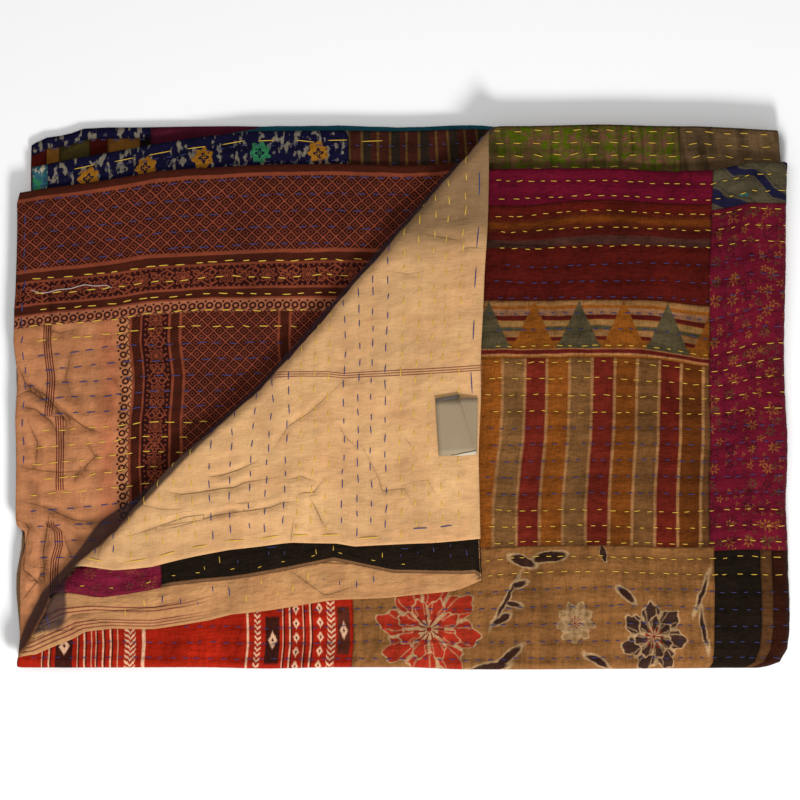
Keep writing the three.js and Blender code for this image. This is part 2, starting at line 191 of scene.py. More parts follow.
@dataclass
class Lay:
    """How the cloth lies: folded three times along its length and once across, one corner turned back.

    Attributes:
        pitch: distance between the middles of neighbouring layers.
        half: half the cloth's thickness.
        axis_y: y of the near bends' axis.
        width, length: of the open cloth.
        half_width, right_bend: where the fold at the right starts in u, and the cloth in it.
        quarter_length, bend_length: the cloth in the four quarters and in the bends between them.
        level, faces: height of each quarter over the fold across, in pitches, and its way up.
        bends: radius and centre height of each bend in pitches, and the way it bulges in y.
        middle_level: height of the fold across over the floor, in pitches.
        free_level: height over the fold across above which a layer turns with the corner.
        bend_reach: how far the outside of a far bend lies beyond its axis.
        rough_right: x of the right side, near enough to read the far edges by.
        corner_y, corner_power: where the rounded near right corner starts, and how closely only
            the cloth next to it is drawn in.
        drop: how far the cloth is lowered onto the floor.
        slant_start, slant_end: ends of the slanted fold's line.
        slant_reach: distance from that line back to the fold's axis.
        slant_fade: depth in the flap over which the fold's bow fades out.
    """

    pitch: float = 2.8
    half: float = 1.0
    axis_y: float = -217.4
    width: float = 1254.0
    length: float = 1669.0
    half_width: float = 616.0
    right_bend: float = 22.0
    quarter_length: tuple[float, ...] = (410.0, 400.0, 400.0, 437.0)
    bend_length: tuple[float, ...] = (13.2, 4.4, 4.4)
    level: tuple[float, ...] = (0.5, 3.5, 2.5, 1.5)
    faces: tuple[int, ...] = (-1, 1, -1, 1)
    bends: tuple[tuple[float, float, int], ...] = ((1.5, 2, -1), (0.5, 3, 1), (0.5, 2, -1))
    middle_level: int = 4
    free_level: float = 1.2
    bend_reach: float = 2.4
    rough_right: float = 305.4
    corner_y: float = -150.0
    corner_power: int = 16
    drop: float = 0.4
    slant_start: tuple[float, float] = (-310.8, -201.3)
    slant_end: tuple[float, float] = (75.4, 221.0)
    slant_reach: float = 8.0
    slant_fade: float = 120.0

    def __post_init__(self) -> None:
        """Works out the starts of the quarters, the fold's directions and the corner's flat edges."""
        self.start = [0.0]
        for quarter, bend in zip(self.quarter_length, self.bend_length):
            self.start.append(self.start[-1] + quarter + bend)
        run = np.subtract(self.slant_end, self.slant_start)
        self.along = run / np.hypot(*run)
        self.across = np.array((-self.along[1], self.along[0]))
        level_1, level_2, level_3 = self.level[1:]
        between_12 = (level_1 + level_2) / 2
        hem_1 = self.unfolded(FLAP_NEAR_1, level_1, False, ((-219, -315), (-203, -313.5)))
        hem_2 = self.unfolded(FLAP_NEAR_2, level_2, False, ((-219, -281), (-184, -285)))
        hem_3 = self.unfolded(FLAP_NEAR_3, level_3, False, ((-219, -281), (-165, -269)))
        fold = self.unfolded(FLAP_FOLD_12, between_12, True, FAR_FOLD_12.points())
        far_3 = self.unfolded(FLAP_RIGHT_3, level_3, True, FAR_HEM_3.points())
        self.left = ((LEFT_HEM_4, LEFT_HEM_5), (hem_1, LEFT_HEM_8), (hem_2, LEFT_HEM_7), (hem_3, LEFT_HEM_6))
        self.far = ((FAR_HEM_4, FAR_HEM_5), (fold, FAR_FOLD_78), (fold, FAR_FOLD_78), (far_3, FAR_HEM_6))

    def slant(self, x: Array, y: Array) -> tuple[Array, Array]:
        """Distances of a place along the slanted fold and from it towards the far left."""
        dx, dy = x - self.slant_start[0], y - self.slant_start[1]
        return dx * self.along[0] + dy * self.along[1], dx * self.across[0] + dy * self.across[1]

    def unfolded(self, edge: Line, level: float, by_x: bool,
                 rest: tuple[tuple[float, float], ...]) -> Line:
        """An edge of the flap laid flat again.

        A place on the flap is as far beyond the fold as its depth in the flap plus the half turn,
        whose radius is the layer's height under the fold's axis.

        Args:
            edge: the edge as it lies, x against y where by_x is true, or else y against x.
            level: the layer's height over the fold across, in pitches.
            by_x: whether the flat edge is wanted as y against x, or as x against y.
            rest: the edge's points that never left the stack, in the order of the wanted line.

        Returns:
            The edge before the corner was turned.
        """
        first, second = np.array(edge.along), np.array(edge.reach)
        x, y = (second, first) if by_x else (first, second)
        along, across = self.slant(x, y)
        bow = SLANT_BOW.at(along)
        depth = -across - self.slant_reach
        for _ in range(4):
            fade = np.clip(1 - depth / self.slant_fade, 0, 1)
            depth = -across - self.slant_reach + bow * fade
        beyond = bow - self.slant_reach + math.pi * (self.middle_level - level) * self.pitch + depth
        flat_x = self.slant_start[0] + self.along[0] * along + self.across[0] * beyond
        flat_y = self.slant_start[1] + self.along[1] * along + self.across[1] * beyond
        kept = depth > 8
        key, value = (flat_x, flat_y) if by_x else (flat_y, flat_x)
        pairs = sorted([*zip(key[kept], value[kept]), *rest])
        return Line(along=tuple(p[0] for p in pairs), reach=tuple(p[1] for p in pairs))

    def blend(self, pair: tuple[Line, Line], value: Array, lower: Array) -> Array:
        """A line read for the upper half, the lower half or the bend between them."""
        return pair[0].at(value) * (1 - lower) + pair[1].at(value) * lower

    def quarter(self, v: Array) -> Array:
        """Number of the quarter that a place along the cloth is in, from 0 to 3."""
        return np.clip(np.searchsorted(self.start, v, side="right") - 1, 0, 3)

    def place(self, u: Array, v: Array, w: Array) -> tuple[Array, Array]:
        """Where points of the cloth lie.

        The section across the layers gives y and the height over the fold across, which is the
        radius of that fold at the right. The rounded near right corner draws in only the cloth next
        to it, by a high power of the share across. Beyond the slanted fold the height under that
        fold's axis is the radius of its half turn, and the rest runs back over the stack.

        Args:
            u, v: flat coordinates.
            w: height off the middle towards the patchwork.

        Returns:
            The places, with x, y, z last, and how far round the slanted fold each has gone, 0 to 1.
        """
        u, v, w = (np.array(a, float) for a in np.broadcast_arrays(u, v, w))
        p = self.pitch
        lower = np.clip((u - self.half_width) / self.right_bend, 0, 1)
        share_u = np.minimum(np.where(lower < 0.5, u, self.width - u) / self.half_width, 1)
        y, middle, out_y, out_h, past_q = self.section(v, lower, share_u)
        which = self.quarter(v)
        left = np.zeros_like(u)
        for q in range(4):
            here = which == q
            this = self.blend(self.left[q], y, lower)
            following = self.blend(self.left[min(q + 1, 3)], y, lower)
            left[here] = (this + past_q * (following - this))[here]
        y_out = y + out_y * w
        height = middle + out_h * w
        reach = RIGHT_REACH.at(y)
        axis_x = reach - self.level[1] * p - self.half
        cut = np.where(y < self.corner_y, np.minimum(reach - RIGHT_REACH.at(self.corner_y), 0), 0)
        drawn_in = cut * (share_u ** self.corner_power - share_u)
        x = left + share_u * (axis_x - left) + drawn_in + height * np.sin(math.pi * lower)
        z = self.middle_level * p + height * np.cos(math.pi * lower) - self.drop
        return self.turned_corner(x, y_out, z, height, middle, lower)

    def section(self, v: Array, lower: Array, share_u: Array) -> tuple[Array, ...]:
        """The section across the layers: level in a quarter, a half circle in a bend.

        Args:
            v: how far along the cloth.
            lower: 0 in the upper half of the cloth, 1 in the lower half, between them in the fold.
            share_u: share of the way from the open side to the fold at the right.

        Returns:
            y and the height over the fold across of the cloth's middle, both parts of its outward
            direction, and how far round the bend after its quarter it is, 0 to 1.
        """
        p = self.pitch
        y, middle, out_y, out_h, past_q = (np.zeros_like(v) for _ in range(5))
        for q in range(4):
            near_x = self.blend(self.left[q], 0.0, lower)
            rough_x = near_x + share_u * (self.rough_right - near_x)
            far = self.blend(self.far[q], rough_x, lower) - (self.bend_reach if q in (1, 2) else 0)
            share = (v - self.start[q]) / self.quarter_length[q]
            share = np.clip(1 - share if q in (0, 2) else share, 0, 1)
            here = v >= self.start[q]
            y[here] = (self.axis_y + share * (far - self.axis_y))[here]
            middle[here] = self.level[q] * p
            out_y[here] = 0
            out_h[here] = self.faces[q]
            past_q[here] = 0
            if q == 3:
                continue
            turn = math.pi * (v - self.start[q] - self.quarter_length[q]) / self.bend_length[q]
            bent = (turn > 0) & (turn <= math.pi)
            s, c = np.sin(turn[bent]), np.cos(turn[bent])
            radius, centre, round_y = self.bends[q]
            rises = -1 if q == 0 else 1
            faces_in = -1 if q == 2 else 1
            base = far[bent] if q == 1 else self.axis_y
            y[bent] = base + round_y * radius * p * s
            middle[bent] = centre * p + rises * radius * p * c
            out_y[bent] = faces_in * round_y * s
            out_h[bent] = faces_in * rises * c
            past_q[bent] = turn[bent] / math.pi
        return y, middle, out_y, out_h, past_q

    def turned_corner(self, x: Array, y: Array, z: Array, height: Array, middle: Array,
                      lower: Array) -> tuple[Array, Array]:
        """Turns the corner of the three top layers back over the slanted fold, and ruffles the stack.

        Args:
            x, y, z: the places before.
            height, middle: of the point and of its layer's middle, over the fold across.
            lower: 0 in the upper half of the cloth.

        Returns:
            The places after, and how far round the fold each has gone.
        """
        p = self.pitch
        along, across = self.slant(x, y)
        bow = SLANT_BOW.at(along)
        past = across - (bow - self.slant_reach)
        free = (lower == 0) & (middle > self.free_level * p) & (past > 0)
        axis_height = self.middle_level * p
        middle_radius = np.maximum(axis_height - middle, 0.3 * p)
        turn = np.clip(past / middle_radius, 0, math.pi)
        depth = np.maximum(past - math.pi * middle_radius, 0)
        fade = np.clip(1 - depth / self.slant_fade, 0, 1)
        radius = axis_height - height
        back = bow * fade - self.slant_reach - depth + radius * np.sin(turn)
        turned_x = self.slant_start[0] + self.along[0] * along + self.across[0] * back
        turned_y = self.slant_start[1] + self.along[1] * along + self.across[1] * back
        turned_z = 2 * axis_height - radius * np.cos(turn) - self.drop
        x = np.where(free, turned_x, x)
        y = np.where(free, turned_y, y)
        z = np.where(free, turned_z, z)
        for d in DRIFTS:
            push = np.exp(-(((x - d.x) / d.spread_x) ** 2) - ((y - d.y) / d.spread_y) ** 2)
            x, y = x + d.dx * push, y + d.dy * push
        x = x + 1.0 * rumple(x, y, 62, 48, 11)
        y = y + 1.2 * rumple(x, y, 55, 60, 12)
        swell = 1.5 * rumple(x, y, 75, 60, 13) + 0.6 * rumple(x, y, 33, 40, 14)
        z = z + swell * z / 30
        return np.stack([x, y, z], axis=-1), np.where(free, turn / math.pi, 0)


@dataclass(frozen=True)
class Crease:
    """A crease pressed into the uppermost cloth, along points as they lie, x and y by turns."""

    path: tuple[float, ...]
    depth: float
    width: float = 1.8


FLAP_CREASES = (
    Crease((-44, 16, -74.6, -12.7, -92, -24, -106, -45), 0.8, 2.0),
    Crease((-157, -65.5, -147, -64.4, -132, -59.5, -117, -52.5), 1.3, 2.4),
    Crease((-193, -77.5, -180, -80, -165, -78.3, -147, -75, -136, -74.2, -128, -70, -107, -66.8), 1.4, 2.6),
    Crease((-93, -67.7, -81, -65.2, -71, -69.3), 0.9),
    Crease((-84.5, -80, -79.5, -78.3, -71.3, -78.3, -63, -67), 1.0),
    Crease((-198, -109.5, -177, -104.6, -152, -97.2, -124, -93, -107, -90.6, -97, -86.5, -86, -85.7),
           1.3, 2.4),
    Crease((-75, -81.6, -69.7, -91.4, -65.6, -100.5, -61.5, -108), 1.1, 2.0),
    Crease((-135, -87.3, -122, -85.7), 0.8),
    Crease((-51, -23, -46, -32, -37, -41), 0.7),
    Crease((-35, -34, -18, -67, -15.5, -77, 2.5, -74.7, 8, -84), 0.8, 2.0),
    Crease((3, -32.5, 8.5, -41), 0.6),
    Crease((-222, -113.8, -206, -108.7, -176, -98.2, -155, -95.7, -129, -90.4), 1.1, 2.4),
    Crease((-250, -137, -243, -116, -234, -110), 0.8, 2.4),
    Crease((-215, -88, -196, -92, -176, -92), 0.7, 2.5),
    Crease((20, 132.7, 49, 127.5), 0.9, 2.6),
    Crease((49, 119, 54, 122, 66, 121.5), 0.9, 2.6),
    Crease((-10, 103, 6, 100, 24, 104), 0.5, 3.0),
    Crease((30, 146, 44, 144, 60, 147), 0.5, 3.0),
    Crease((5, -70, 22, -68, 30, -84), 0.4, 2.2),
    Crease((-88, -101, -89.5, -112, -90, -119), 0.9, 2.0),
    Crease((-108, -140, -88, -144, -62, -163, -29, -152), 1.0, 2.4),
    Crease((-276, -183, -240, -176, -200, -172, -168, -164), 0.8, 2.2),
    Crease((-290, -190, -262, -181, -238, -186), 0.9, 2.2),
    Crease((-311, -200, -296, -184, -283, -170), 1.6, 2.0),
    Crease((-311, -201, -290, -186, -266, -178, -250, -177), 1.5, 2.0),
    Crease((-309, -202, -286, -192, -262, -190), 1.3, 2.0),
    Crease((-284, -168, -262, -160, -240, -152), 1.2, 2.2),
)
LOWER_LEFT_CREASES = (
    Crease((-315.5, 28.6, -307.7, 10.5, -292, 1.5, -274, -20.6, -278, -36), 1.7, 3.2),
    Crease((-315.5, 0, -305, 5.3, -287, -6.3, -272.7, -15.4, -258.5, -25.7, -243, -31), 1.4, 2.8),
    Crease((-314, -7.6, -300, -10.3, -287, -20.6, -281.8, -31), 1.2, 2.6),
    Crease((-258.5, -36, -250.7, -49, -266.3, -64.6, -267.6, -69.8), 1.0, 2.4),
    Crease((-288, -93, -293.4, -126.7, -292, -160, -296, -173), 1.8, 3.0),
    Crease((-314, -101, -305, -106, -309, -126.7, -312.8, -142), 1.3, 2.6),
    Crease((-315.5, -56.8, -294.7, -60.7, -279, -62, -243, -59.5), 0.9, 2.6),
    Crease((-312.8, -85.3, -292, -90.4, -268.8, -101, -245.5, -103.4), 1.1, 2.8),
    Crease((-268.8, 41.6, -275.3, 15.7, -271.4, 2.7), 0.8, 2.4),
    Crease((-318, -111, -307.7, -124, -310, -142, -296, -152.6, -294.7, -165.6), 1.4, 2.6),
    Crease((-311.6, -168, -297.3, -150, -291, -137), 1.3, 2.6),
    Crease((-300, 60, -280, 52, -262, 56), 0.8, 2.6),
    Crease((-286, 95, -288, 60, -292, 36), 0.7, 2.4),
    Crease((-240, 22, -228, 2, -232, -24), 0.6, 2.4),
    Crease((-306, -20, -298, -38, -300, -58), 1.0, 2.4),
    Crease((-278, -110, -270, -132, -274, -150), 1.0, 2.6),
)
FRONT_CREASES = (
    Crease((74, 164.4, 116, 166, 129, 162, 177, 158, 203, 158, 250, 156), 0.6, 2.2),
    Crease((72, 125, 100, 124, 131, 124), 0.8, 2.0),
    Crease((74, 141, 108, 139, 132, 146, 160, 148), 0.5, 3.0),
    Crease((255, 92, 285, 95, 314, 93), 0.6, 2.4),
    Crease((262, 118, 268, 60, 266, 10, 262, -40), 0.4, 3.4),
    Crease((236, 176, 238, 186), 0.7, 1.8),
)


def crease_marks(creases: tuple[Crease, ...], x: Array, y: Array) -> tuple[Array, Array, Array]:
    """Marks of creases: a soft trough along each path with a low ridge on both sides of it.

    Args:
        creases: their paths and sizes.
        x, y: where the cloth lies.

    Returns:
        The height they add, the distance to the left of the nearest crease's line, which keeps the
        line sharp between the mesh's points, and how strong that crease is there.
    """
    height, closest = np.zeros_like(x), np.full(x.shape, FAR_OFF)
    beside, strength = np.full(x.shape, FAR_OFF), np.zeros_like(x)
    for crease in creases:
        path = np.reshape(crease.path, (-1, 2))
        nearest = np.full(x.shape, math.inf)
        reach, left = np.zeros(x.shape), np.zeros(x.shape)
        for k, (a, b) in enumerate(zip(path[:-1], path[1:])):
            run = b - a
            dx, dy = x - a[0], y - a[1]
            share = np.clip((dx * run[0] + dy * run[1]) / (run @ run), 0, 1)
            gap = np.hypot(dx - share * run[0], dy - share * run[1])
            closer = gap < nearest
            nearest = np.where(closer, gap, nearest)
            reach = np.where(closer, (k + share) / (len(path) - 1), reach)
            left = np.where(closer, np.where(run[0] * dy - run[1] * dx > 0, gap, -gap), left)
        taper = np.sin(math.pi * np.clip(reach, 0.04, 0.96)) ** 0.6
        trough = np.exp(-((nearest / crease.width) ** 2))
        ridge = np.exp(-(((nearest - 2.2 * crease.width) / (1.3 * crease.width)) ** 2))
        height += crease.depth * taper * (0.55 * ridge - trough)
        here = nearest < closest
        closest = np.where(here, nearest, closest)
        beside = np.where(here, left, beside)
        fading = crease.depth * taper * np.clip(1.6 - nearest / 3.6, 0, 1)
        strength = np.where(here, fading, strength)
    return height, beside, strength


@dataclass(frozen=True)
class Row:
    """A row of running stitches across the cloth, at v, in yellow or in blue thread."""

    v: float
    blue: bool


def stitch_rows(lay: Lay) -> list[Row]:
    """All rows of running stitches, in order of v.

    The rows lie 13.4 mm apart and change between yellow and blue thread every five rows. The last
    quarter has its own spacings, counted from its hem.

    Args:
        lay: how the cloth lies.

    Returns:
        The rows.
    """
    pitch, same, count = 13.43, 5, 30
    rows = [Row(11 + pitch * k, (k // same) % 2 == 0) for k in range(count)]
    top = lay.start[1] + 392.4
    rows += [Row(top - pitch * k, (k // same) % 2 == 1) for k in range(count)]
    rows += [Row(lay.start[2] + 7 + pitch * k, (k // same) % 2 == 0) for k in range(count)]
    gaps = (19, 33.4, 44.3, 57.4, 70, 84, 97, 109, 122, 135.3, 147.6, 160, 172, 186, 199, 216, 233)
    blues = (False,) * 5 + (True,) * 4 + (False,) * 3 + (True,) * 5
    rows += [Row(lay.length - gap, blue) for gap, blue in zip(gaps, blues)]
    rows += [Row(lay.length - 248 - 13.8 * k, (k // same) % 2 == 1) for k in range(13)]
    return sorted(rows, key=lambda row: row.v)


def across_fold(lay: Lay, x: Array, y: Array) -> Array:
    """Distance of a place beyond the edge of the slanted fold."""
    along, across = lay.slant(x, y)
    return across - SLANT_BOW.at(along)


@dataclass
class Spots:
    """Places of one face: their flat coordinates, where they lie, and how far they are turned."""

    lay: Lay
    side: Side
    u: Array
    v: Array

    def __post_init__(self) -> None:
        """Works out where the cloth's middle lies at each place, and its quarter."""
        self.u, self.v = (np.array(a, float) for a in np.broadcast_arrays(self.u, self.v))
        place, self.turned = self.lay.place(self.u, self.v, 0)
        self.x, self.y = place[..., 0], place[..., 1]
        self.quarter = self.lay.quarter(self.v)


@dataclass
class Relief:
    """Height that the quilting, the gathers and the creases add to each face of the cloth.

    Attributes:
        lay: how the cloth lies.
        crest: height between two stitch rows.
        valley, soft_valley: how far a stitch row lies below that, and on the lining's flap.
        deepest: greatest depth of any relief.
        hem: width over which a hem is rounded off.
        tip_along, tip_spread: where the slanted fold's tip is shaded, along it.
    """

    lay: Lay
    crest: float = 0.3
    valley: float = 0.8
    soft_valley: float = 0.35
    deepest: float = 1.6
    hem: float = 3.0
    tip_along: float = 36.0
    tip_spread: float = 20.0

    def __post_init__(self) -> None:
        """Keeps the rows' places as one array."""
        self.rows = np.array([row.v for row in stitch_rows(self.lay)])

    def wander(self, u: Array, v: Array) -> Array:
        """Sideways wander of the stitch rows at a place."""
        return 1.3 * rumple(u, v, 42, 30, 21) + 0.5 * rumple(u, v, 14, 30, 22)

    def exposure(self, at: Spots) -> Array:
        """How open to view each place is, 0 where another layer lies on it and 1 in the open.

        Args:
            at: the places.

        Returns:
            The exposure of each place.
        """
        x, y, q = at.x, at.y, at.quarter
        upper = at.u < self.lay.half_width + self.lay.right_bend / 2
        over = at.turned > 0.5
        open_ = np.zeros_like(x)

        def put(here: Array, value: Array) -> None:
            """Sets the exposure in one part of the cloth."""
            open_[here] = np.broadcast_to(value, x.shape)[here]

        if at.side is Side.PATCHWORK:
            beside = soft_step(x - FLAP_RIGHT_3.at(y) - 1, 14)
            below = soft_step(FLAP_NEAR_1.at(x) - y - 1, 10)
            put((q == 1) & upper & ~over, np.maximum(beside, below))
            put((q == 3) & upper & ~over, soft_step(y - FAR_FOLD_12.at(x) - 0.5, 6))
            put((q == 2) & upper & over, soft_step(FLAP_NEAR_3.at(x) - y - 0.5, 6))
            put((q == 0) & ~upper, soft_step(y - FAR_HEM_4.at(x) - 0.5, 6))
            beyond = np.maximum(FAR_HEM_5.at(x), FAR_HEM_6.at(x))
            put((q == 2) & ~upper, soft_step(y - beyond - 0.5, 5))
            put((q == 1) & ~upper, 1.0)
        else:
            put((q == 0) & upper, soft_step(across_fold(self.lay, x, y) - 1.5, 14))
            put((q == 3) & upper & (at.turned > 0.02), 1.0)
            put((q == 1) & upper & over, soft_step(FLAP_NEAR_2.at(x) - y - 0.5, 6))
        return open_

    def height(self, side: Side, u: Array, v: Array) -> tuple[Array, ...]:
        """Height that the relief adds to a face, outwards.

        The quilting's own relief, and on the open cloth the creases and crumples. Where a layer
        lies on the cloth the relief is lower, and it dies away at the hems.

        Args:
            side: the face.
            u, v: flat coordinates.

        Returns:
            The height, the exposure, the share of the cloth's half thickness that is left where
            the hem is rounded off, and the nearest crease's distance and strength.
        """
        lay, at = self.lay, Spots(self.lay, side, u, v)
        u, v = at.u, at.v
        open_ = self.exposure(at)
        height, beside, strength = self.creased(at, open_, self.quilting(at, open_))
        hidden = 1 - soft_step(open_, 0.3)
        height = height * (1 - 0.7 * hidden)
        over = height - self.crest
        height = np.where(over > 0, self.crest + over * np.maximum(open_, 0), height)
        height = np.maximum(height, -self.deepest)
        middle_bend = lay.half_width + lay.right_bend / 2
        height = height * (1 - 0.6 * np.exp(-(((u - middle_bend) / 15) ** 2)))
        edge = np.minimum(np.minimum(u, lay.width - u), np.minimum(v, lay.length - v))
        round_ = np.sqrt(np.clip(1 - (1 - np.clip(edge, 0, self.hem) / self.hem) ** 2, 0, 1))
        return height * soft_step(edge, 2 * self.hem), open_, round_, beside, strength

    def quilting(self, at: Spots, open_: Array) -> Array:
        """A valley along each stitch row, drawn in at each stitch, short gathers and slow waves.

        Args:
            at: the places.
            open_: the exposure of each.

        Returns:
            The height, outwards.
        """
        u, v = at.u, at.v
        shifted = v - self.wander(u, v)
        after = np.clip(np.searchsorted(self.rows, shifted), 1, len(self.rows) - 1)
        gap_before, gap_after = shifted - self.rows[after - 1], self.rows[after] - shifted
        gap = np.minimum(np.abs(gap_before), np.abs(gap_after))
        nearest = after - (np.abs(gap_before) < np.abs(gap_after))
        soft = (at.quarter == 3) & (at.side is Side.LINING)
        deep = np.where(soft, self.soft_valley, self.valley)
        valley = self.crest - deep * np.exp(-((gap / 2.7) ** 2))
        drawn = 0.16 * np.sin(2 * math.pi * (u / 10.3 + 0.37 * nearest)) * np.exp(-((gap / 4.5) ** 2))
        gathers = 0.34 * rumple(u, v, 5.4, 19, 31) + 0.36 * rumple(u, v, 11, 27, 32)
        waves = 0.5 * rumple(u, v, 26, 22, 33) + 0.45 * rumple(u, v, 48, 60, 34)
        return valley + drawn + (0.35 + 0.65 * open_) * gathers + open_ * waves

    def creased(self, at: Spots, open_: Array, height: Array) -> tuple[Array, Array, Array]:
        """Adds the creases and the crumples of each part of the open cloth.

        Args:
            at: the places.
            open_: the exposure of each.
            height: the quilting's own relief.

        Returns:
            The height with them, and the nearest crease's distance and strength.
        """
        lay = self.lay
        u, v, x, y, q = at.u, at.v, at.x, at.y, at.quarter
        beside, strength = np.full(x.shape, FAR_OFF), np.zeros(x.shape)

        def crease(here: Array, creases: tuple[Crease, ...], strain: float = 1.0) -> None:
            """Presses creases into one part of the cloth."""
            added, gap, depth = crease_marks(creases, x, y)
            height[here] += (open_ * added * strain)[here]
            beside[here], strength[here] = gap[here], (open_ * depth)[here]

        if at.side is Side.LINING:
            flap = (at.turned > 0.5) & (u < lay.half_width)
            crease(flap, FLAP_CREASES)
            gathered = soft_step(-105 - x, 60) * soft_step(30 - y, 60) * flap * open_
            height += gathered * 0.45 * rumple(y + 0.25 * x, x, 7.5, 34, 35)
            corner = (q == 0) & (u < lay.half_width)
            rough = soft_step(-205 - x, 50) * soft_step(40 - y, 50) * corner * open_
            crease(corner & (across_fold(lay, x, y) > 3), LOWER_LEFT_CREASES, 1.7)
            height += rough * (1.2 * rumple(x + 0.5 * y, y, 13, 21, 36) + 0.8 * rumple(x, y - x, 8, 12, 37))
            tag = soft_step(x - 20, 8) * soft_step(70 - x, 8) * soft_step(y + 57, 8) * soft_step(8 - y, 8)
            height = np.where(flap, height * (1 - 0.75 * tag), height)
        else:
            crease((q == 1) & (u < lay.half_width + lay.right_bend), FRONT_CREASES)
            pleats = soft_step(x - 228, 6) * (q == 3) * open_
            height += pleats * 0.5 * rumple(u, v, 8, 60, 38)
            flowers = soft_step(-118 - y, 12) * (q == 1) * (u < lay.half_width) * open_
            height += flowers * 0.35 * rumple(u, v, 6, 30, 39)
            under = (q == 1) & (u > lay.half_width + lay.right_bend)
            height = np.where(under, np.minimum(height - 0.25, 0), height)
        return height, beside, strength

    def shade_gap(self, side: Side, u: Array, v: Array) -> Array:
        """Distance outside the dark shade that follows the slanted fold, negative in the shade.

        On the lining under the flap the shade is a band beyond the fold's edge, as wide as the
        fold's side shows there. On the flap it is a thin line inside the edge, wider and softer at
        the tip.

        Args:
            side: the face of the cloth.
            u, v: flat coordinates.

        Returns:
            The distance in mm, FAR_OFF where there is none near.
        """
        lay, at = self.lay, Spots(self.lay, side, u, v)
        along, across = lay.slant(at.x, at.y)
        outside = across - SLANT_BOW.at(along)
        under = (at.quarter == 0) & (side is Side.LINING)
        band = np.maximum(outside - SHADE_WIDTH.at(along), -outside - 4)
        tip = np.exp(-(((along - self.tip_along) / self.tip_spread) ** 2))
        line = (-outside - 1 - 24 * tip) / (1 + 1.8 * tip)
        gap = np.clip(np.where(under, band, line), -FAR_OFF, FAR_OFF)
        return np.where(u < lay.half_width - 40, gap, FAR_OFF)

    def surface(self, side: Side, u: Array, v: Array, lift: Array = 0.0) -> Array:
        """Place of a face at flat coordinates, lifted off it outwards."""
        height, _, round_, _, _ = self.height(side, u, v)
        off = side.value * (self.lay.half * round_ + height + lift)
        return self.lay.place(u, v, off)[0]

    def find(self, side: Side, x: Array, y: Array, u: float, v: float) -> tuple[Array, Array]:
        """Flat coordinates of places on a face, by Newton's steps.

        Args:
            side: the face.
            x, y: the places as they lie.
            u, v: a first guess.

        Returns:
            u and v of each place.
        """
        rounds, probe, stride = 9, 2, 60
        p, q = np.full(x.shape, float(u)), np.full(x.shape, float(v))
        for _ in range(rounds):
            here = self.lay.place(p, q, side.value)[0]
            along = self.lay.place(p + probe, q, side.value)[0] - here
            down = self.lay.place(p, q + probe, side.value)[0] - here
            off_x, off_y = x - here[..., 0], y - here[..., 1]
            area = along[..., 0] * down[..., 1] - along[..., 1] * down[..., 0]
            step_u = probe * (off_x * down[..., 1] - off_y * down[..., 0]) / area
            step_v = probe * (off_y * along[..., 0] - off_x * along[..., 1]) / area
            p, q = p + np.clip(step_u, -stride, stride), q + np.clip(step_v, -stride, stride)
        return p, q


def srgb(code: str) -> tuple[float, float, float, float]:
    """Linear colour of an sRGB hex code, by the standard's own curve."""
    values = [int(code[k:k + 2], 16) / 255 for k in (1, 3, 5)]
    linear = [c / 12.92 if c <= 0.04045 else ((c + 0.055) / 1.055) ** 2.4 for c in values]
    return (*linear, 1.0)


